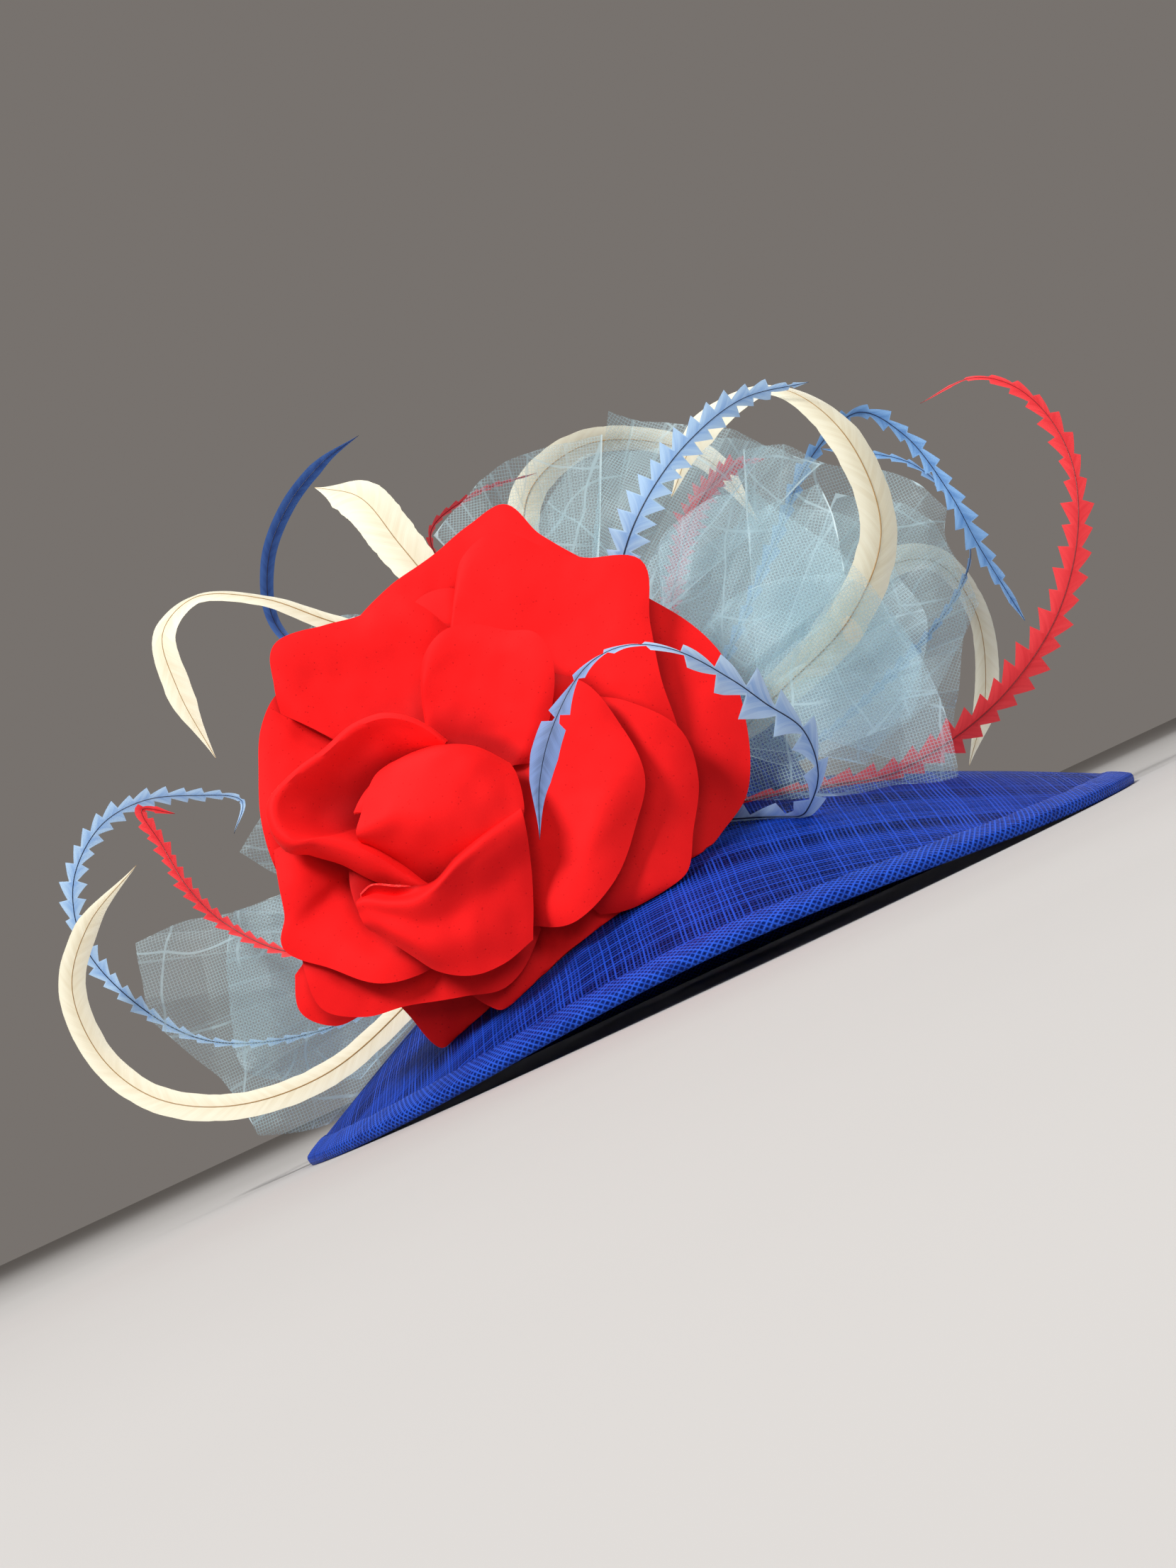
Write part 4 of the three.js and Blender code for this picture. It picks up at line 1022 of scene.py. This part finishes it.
def vaneLook(name, dye):
    look, tree, shader = newLook(name)
    share = maths(tree, "ABSOLUTE", attribute(tree, "across"))
    offset = maths(tree, "MULTIPLY", share, attribute(tree, "halfWidth"))
    barb = maths(tree, "SUBTRACT", attribute(tree, "along"), maths(tree, "MULTIPLY", offset, 1.1))
    fine, broad = (lineNoise(tree, maths(tree, "MULTIPLY", barb, density)) for density in (2600.0, 200.0))
    streak = maths(tree, "MULTIPLY_ADD", fine, 0.4, maths(tree, "MULTIPLY", broad, 0.4))
    streak = maths(tree, "MULTIPLY_ADD", smoothStep(tree, share, 0.1, 1.0), 0.25, streak)  # vanes pale to their edges
    streak = smoothStep(tree, streak, 0.22, 0.72)
    colour = mixColours(tree, streak, dye["dark"], dye["light"])
    if "tip" in dye:  # the leaf at the end is painted darker, as painted shade
        tipShade = mixColours(tree, streak, tuple(c * 0.5 for c in dye["tip"]), dye["tip"])
        colour = mixColours(tree, smoothStep(tree, attribute(tree, "along"), *dye["tipFrom"]), colour, tipShade)
    setInputs(tree, shader, {"Base Color": colour, "Normal": bumpNormal(tree, fine, 0.35, 0.15),
                             "Roughness": 0.5, "Sheen Weight": 0.25, "Specular IOR Level": 0.35})
    glow = addNode(tree, "ShaderNodeBsdfTranslucent", {"Color": colour}).outputs[0]  # thin vanes let light through
    mix = addNode(tree, "ShaderNodeMixShader", {0: 0.15, 1: shader.outputs[0], 2: glow}).outputs[0]
    tree.links.new(mix, tree.nodes["Material Output"].inputs["Surface"])
    return look


def quillLook(name, dye):
    look, tree, shader = newLook(name)
    speck = cloudNoise(tree, objectSpace(tree), 300.0, 3.0)[0]
    colour = mixColours(tree, speck, tuple(c * 0.5 for c in dye["quill"]), dye["quill"])
    setInputs(tree, shader, {"Base Color": colour, "Roughness": 0.35})
    return look


def featherTree():
    tree = bpy.data.node_groups.new("cut feather", "GeometryNodeTree")
    sockets = {"Quill line": "Geometry", "Teeth": "Float", "Notch": "Float", "Plain tip": "Float", "Fray": "Float",
               "Arch": "Float", "Quill radius": "Float", "Seed": "Int", "Vane look": "Material",
               "Quill look": "Material"}
    for title, kind in sockets.items():
        tree.interface.new_socket(title, in_out="INPUT", socket_type="NodeSocket" + kind)
    tree.interface.new_socket("Feather", in_out="OUTPUT", socket_type="NodeSocketGeometry")
    given = addNode(tree, "NodeGroupInput").outputs

    def step(kind, inputs=None, **settings):
        return addNode(tree, "GeometryNode" + kind, inputs, **settings).outputs[0]

    def named(title, kind="FLOAT"):
        return addNode(tree, "GeometryNodeInputNamedAttribute", {"Name": title}, data_type=kind).outputs["Attribute"]

    def joined(parts):
        both = addNode(tree, "GeometryNodeJoinGeometry")
        for part in parts:
            tree.links.new(part, both.inputs[0])
        return both.outputs[0]
    rail = step("MeshToCurve", {"Mesh": given["Quill line"]})
    rail = step("SetCurveNormal", {"Curve": rail, "Normal": named("faceNormal", "FLOAT_VECTOR")}, mode="FREE")
    share = named("share")
    toothed = maths(tree, "MULTIPLY", maths(tree, "GREATER_THAN", given["Teeth"], 0.5),
                    maths(tree, "LESS_THAN", share, maths(tree, "SUBTRACT", 1.0, given["Plain tip"])))
    depth = maths(tree, "SUBTRACT", 1.0, given["Notch"])
    sides = []
    for sign, shift in ((1.0, 0.0), (-1.0, 0.18)):
        tooth = maths(tree, "MULTIPLY_ADD", share, given["Teeth"], shift)
        dice = addNode(tree, "FunctionNodeRandomValue", {2: 0.76, 3: 1.06, "ID": maths(tree, "FLOOR", tooth),
                                                         "Seed": given["Seed"]}, data_type="FLOAT")
        dice = next(s for s in dice.outputs if s.enabled)
        rise = maths(tree, "MULTIPLY_ADD", depth, maths(tree, "FRACT", tooth), given["Notch"])
        cut = maths(tree, "MULTIPLY", dice, rise)
        worn = lineNoise(tree, maths(tree, "ADD", share, sign), 26.0, 3.0)
        worn = maths(tree, "SUBTRACT", 1.0, maths(tree, "MULTIPLY", worn, given["Fray"]))
        factor = step("Switch", {"Switch": toothed, "False": worn, "True": cut}, input_type="FLOAT")
        width = maths(tree, "MULTIPLY", factor, named("halfWidth"))
        barb = step("CurvePrimitiveLine", {"Start": (0, 0, 0), "End": (0, sign, 0)})
        barb = step("ResampleCurve", {"Curve": barb, "Count": 6})
        across = splitAxes(tree, step("InputPosition"))["Y"]
        arch = maths(tree, "MULTIPLY", given["Arch"], -1.0)
        drop = maths(tree, "MULTIPLY", maths(tree, "MULTIPLY", across, across), arch)
        bent = addNode(tree, "ShaderNodeCombineXYZ", {"X": drop}).outputs[0]
        barb = step("SetPosition", {"Geometry": barb, "Offset": bent})
        barb = step("StoreNamedAttribute", {"Geometry": barb, "Name": "across", "Value": across},
                    data_type="FLOAT", domain="POINT")
        sides.append(step("CurveToMesh", {"Curve": rail, "Profile Curve": barb, "Scale": width}))
    vane = step("RealizeInstances", {0: joined(sides)})
    vane = step("SetMaterial", {"Geometry": vane, "Material": given["Vane look"]})
    thin = maths(tree, "MULTIPLY", given["Quill radius"], maths(tree, "MULTIPLY_ADD", share, -0.72, 1.0))
    circle = step("CurvePrimitiveCircle", {"Resolution": 8, "Radius": 1.0})
    quill = step("CurveToMesh", {"Curve": rail, "Profile Curve": circle, "Scale": thin, "Fill Caps": True})
    quill = step("SetMaterial", {"Geometry": quill, "Material": given["Quill look"]})
    tree.links.new(joined((quill, vane)), addNode(tree, "NodeGroupOutput").inputs[0])
    return tree


def quillLine(name, route, teeth):
    points, faces = [Vector(row[:3]) for row in route], [Vector(row[3:] + (0,)) for row in route]
    samples, look = quillSizes["samples"], quillSizes["look"]
    fine = [splinePoint(points, k / samples) for k in range(samples + 1)]
    lengths = [0.0]
    for a, b in zip(fine, fine[1:]):
        lengths.append(lengths[-1] + (b - a).length)
    count = max(quillSizes["steps"], teeth * quillSizes["toothSteps"])
    vertices, along, half, normals, shares = [], [], [], [], []
    k = 0
    for step in range(count + 1):
        goal = lengths[-1] * step / count
        while k < samples - 1 and lengths[k + 1] < goal:
            k += 1
        w = (goal - lengths[k]) / max(1e-9, lengths[k + 1] - lengths[k])
        place = (k + w) / samples
        point = splinePoint(points, place)
        ahead, behind = splinePoint(points, min(1, place + look)), splinePoint(points, max(0, place - look))
        tangent = (ahead - behind).normalized()
        at = place * (len(route) - 1)
        row = min(int(at), len(route) - 2)
        wide, face, _ = faces[row].lerp(faces[row + 1], at - row)
        side = tangent.cross(Vector((0, 0, 1))).normalized()
        side.rotate(Matrix.Rotation(math.radians(face), 3, tangent))
        normal = (trimFrame.to_3x3() @ side.cross(tangent)).normalized()
        taper = min(1.0, quillSizes["rootWidth"] + step / count * quillSizes["rootTaper"])
        taper *= min(1.0, (1 - step / count) * quillSizes["tipTaper"] + quillSizes["tipWidth"])
        vertices.append(inRow(keepOff(trimFrame @ point, quillSizes["clear"])))
        along.append(goal * mm)
        shares.append(step / count)
        half.append(wide / 2 * mm * taper)
        normals.append(normal)
    mesh = bpy.data.meshes.new(name)
    mesh.from_pydata(vertices, [(i, i + 1) for i in range(count)], [])
    for title, values in (("along", along), ("halfWidth", half), ("share", shares)):
        mesh.attributes.new(title, "FLOAT", "POINT").data.foreach_set("value", values)
    flat = [c for normal in normals for c in normal]
    mesh.attributes.new("faceNormal", "FLOAT_VECTOR", "POINT").data.foreach_set("vector", flat)
    return mesh


cutFeather = featherTree()
socketOf = {item.name: item.identifier for item in cutFeather.interface.items_tree if item.in_out == "INPUT"}
looks = {name: (vaneLook(name + " vane", dye), quillLook(name + " quill", dye)) for name, dye in dyes.items()}
for seed, (name, feather) in enumerate(feathers.items()):
    colour = name.split("_")[0]
    feather = {**kinds[colour], **feather}
    vaneMaterial, quillMaterial = looks[feather["dye"]]
    piece = makeObject("plume_" + name, quillLine(name, feather["route"], feather["teeth"]), vaneMaterial)
    grow = piece.modifiers.new("cut feather", "NODES")
    grow.node_group = cutFeather
    values = {"Teeth": float(feather["teeth"]), "Notch": feather["notch"], "Plain tip": feather["plainTip"],
              "Fray": feather["fray"], "Arch": feather["arch"], "Quill radius": feather["quill"] * mm,
              "Seed": seed + 5, "Vane look": vaneMaterial, "Quill look": quillMaterial}
    for title, value in values.items():
        grow[socketOf[title]] = value
    applyModifiers(piece)
    piece.data.shade_smooth()
    finishPiece(piece, colour + "_feather", name)
print("feathers done")


# floor and room
studio = {"floorDark": (0.45, 0.44, 0.43), "floorLight": (0.50, 0.49, 0.48), "floorReach": 30,
          "roomTone": (0.185, 0.168, 0.155, 1)}


def makeFloor():
    look, tree, shader = newLook("pale floor")
    cloudy = cloudNoise(tree, objectSpace(tree), 3.0, 3.0)[0]
    colour = mixColours(tree, cloudy, studio["floorDark"], studio["floorLight"])
    setInputs(tree, shader, {"Base Color": colour, "Roughness": 0.85})
    mesh = bpy.data.meshes.new("floor")
    reach = studio["floorReach"]
    corners = [(-reach, -reach, 0), (reach, -reach, 0), (reach, reach, 0), (-reach, reach, 0)]
    mesh.from_pydata(corners, [], [(0, 1, 2, 3)])
    makeObject("floor", mesh, look)


makeFloor()
world = bpy.data.worlds.new("studio")
world.use_nodes = True
setInputs(world.node_tree, world.node_tree.nodes["Background"], {"Color": studio["roomTone"], "Strength": 1.0})
bpy.context.scene.world = world
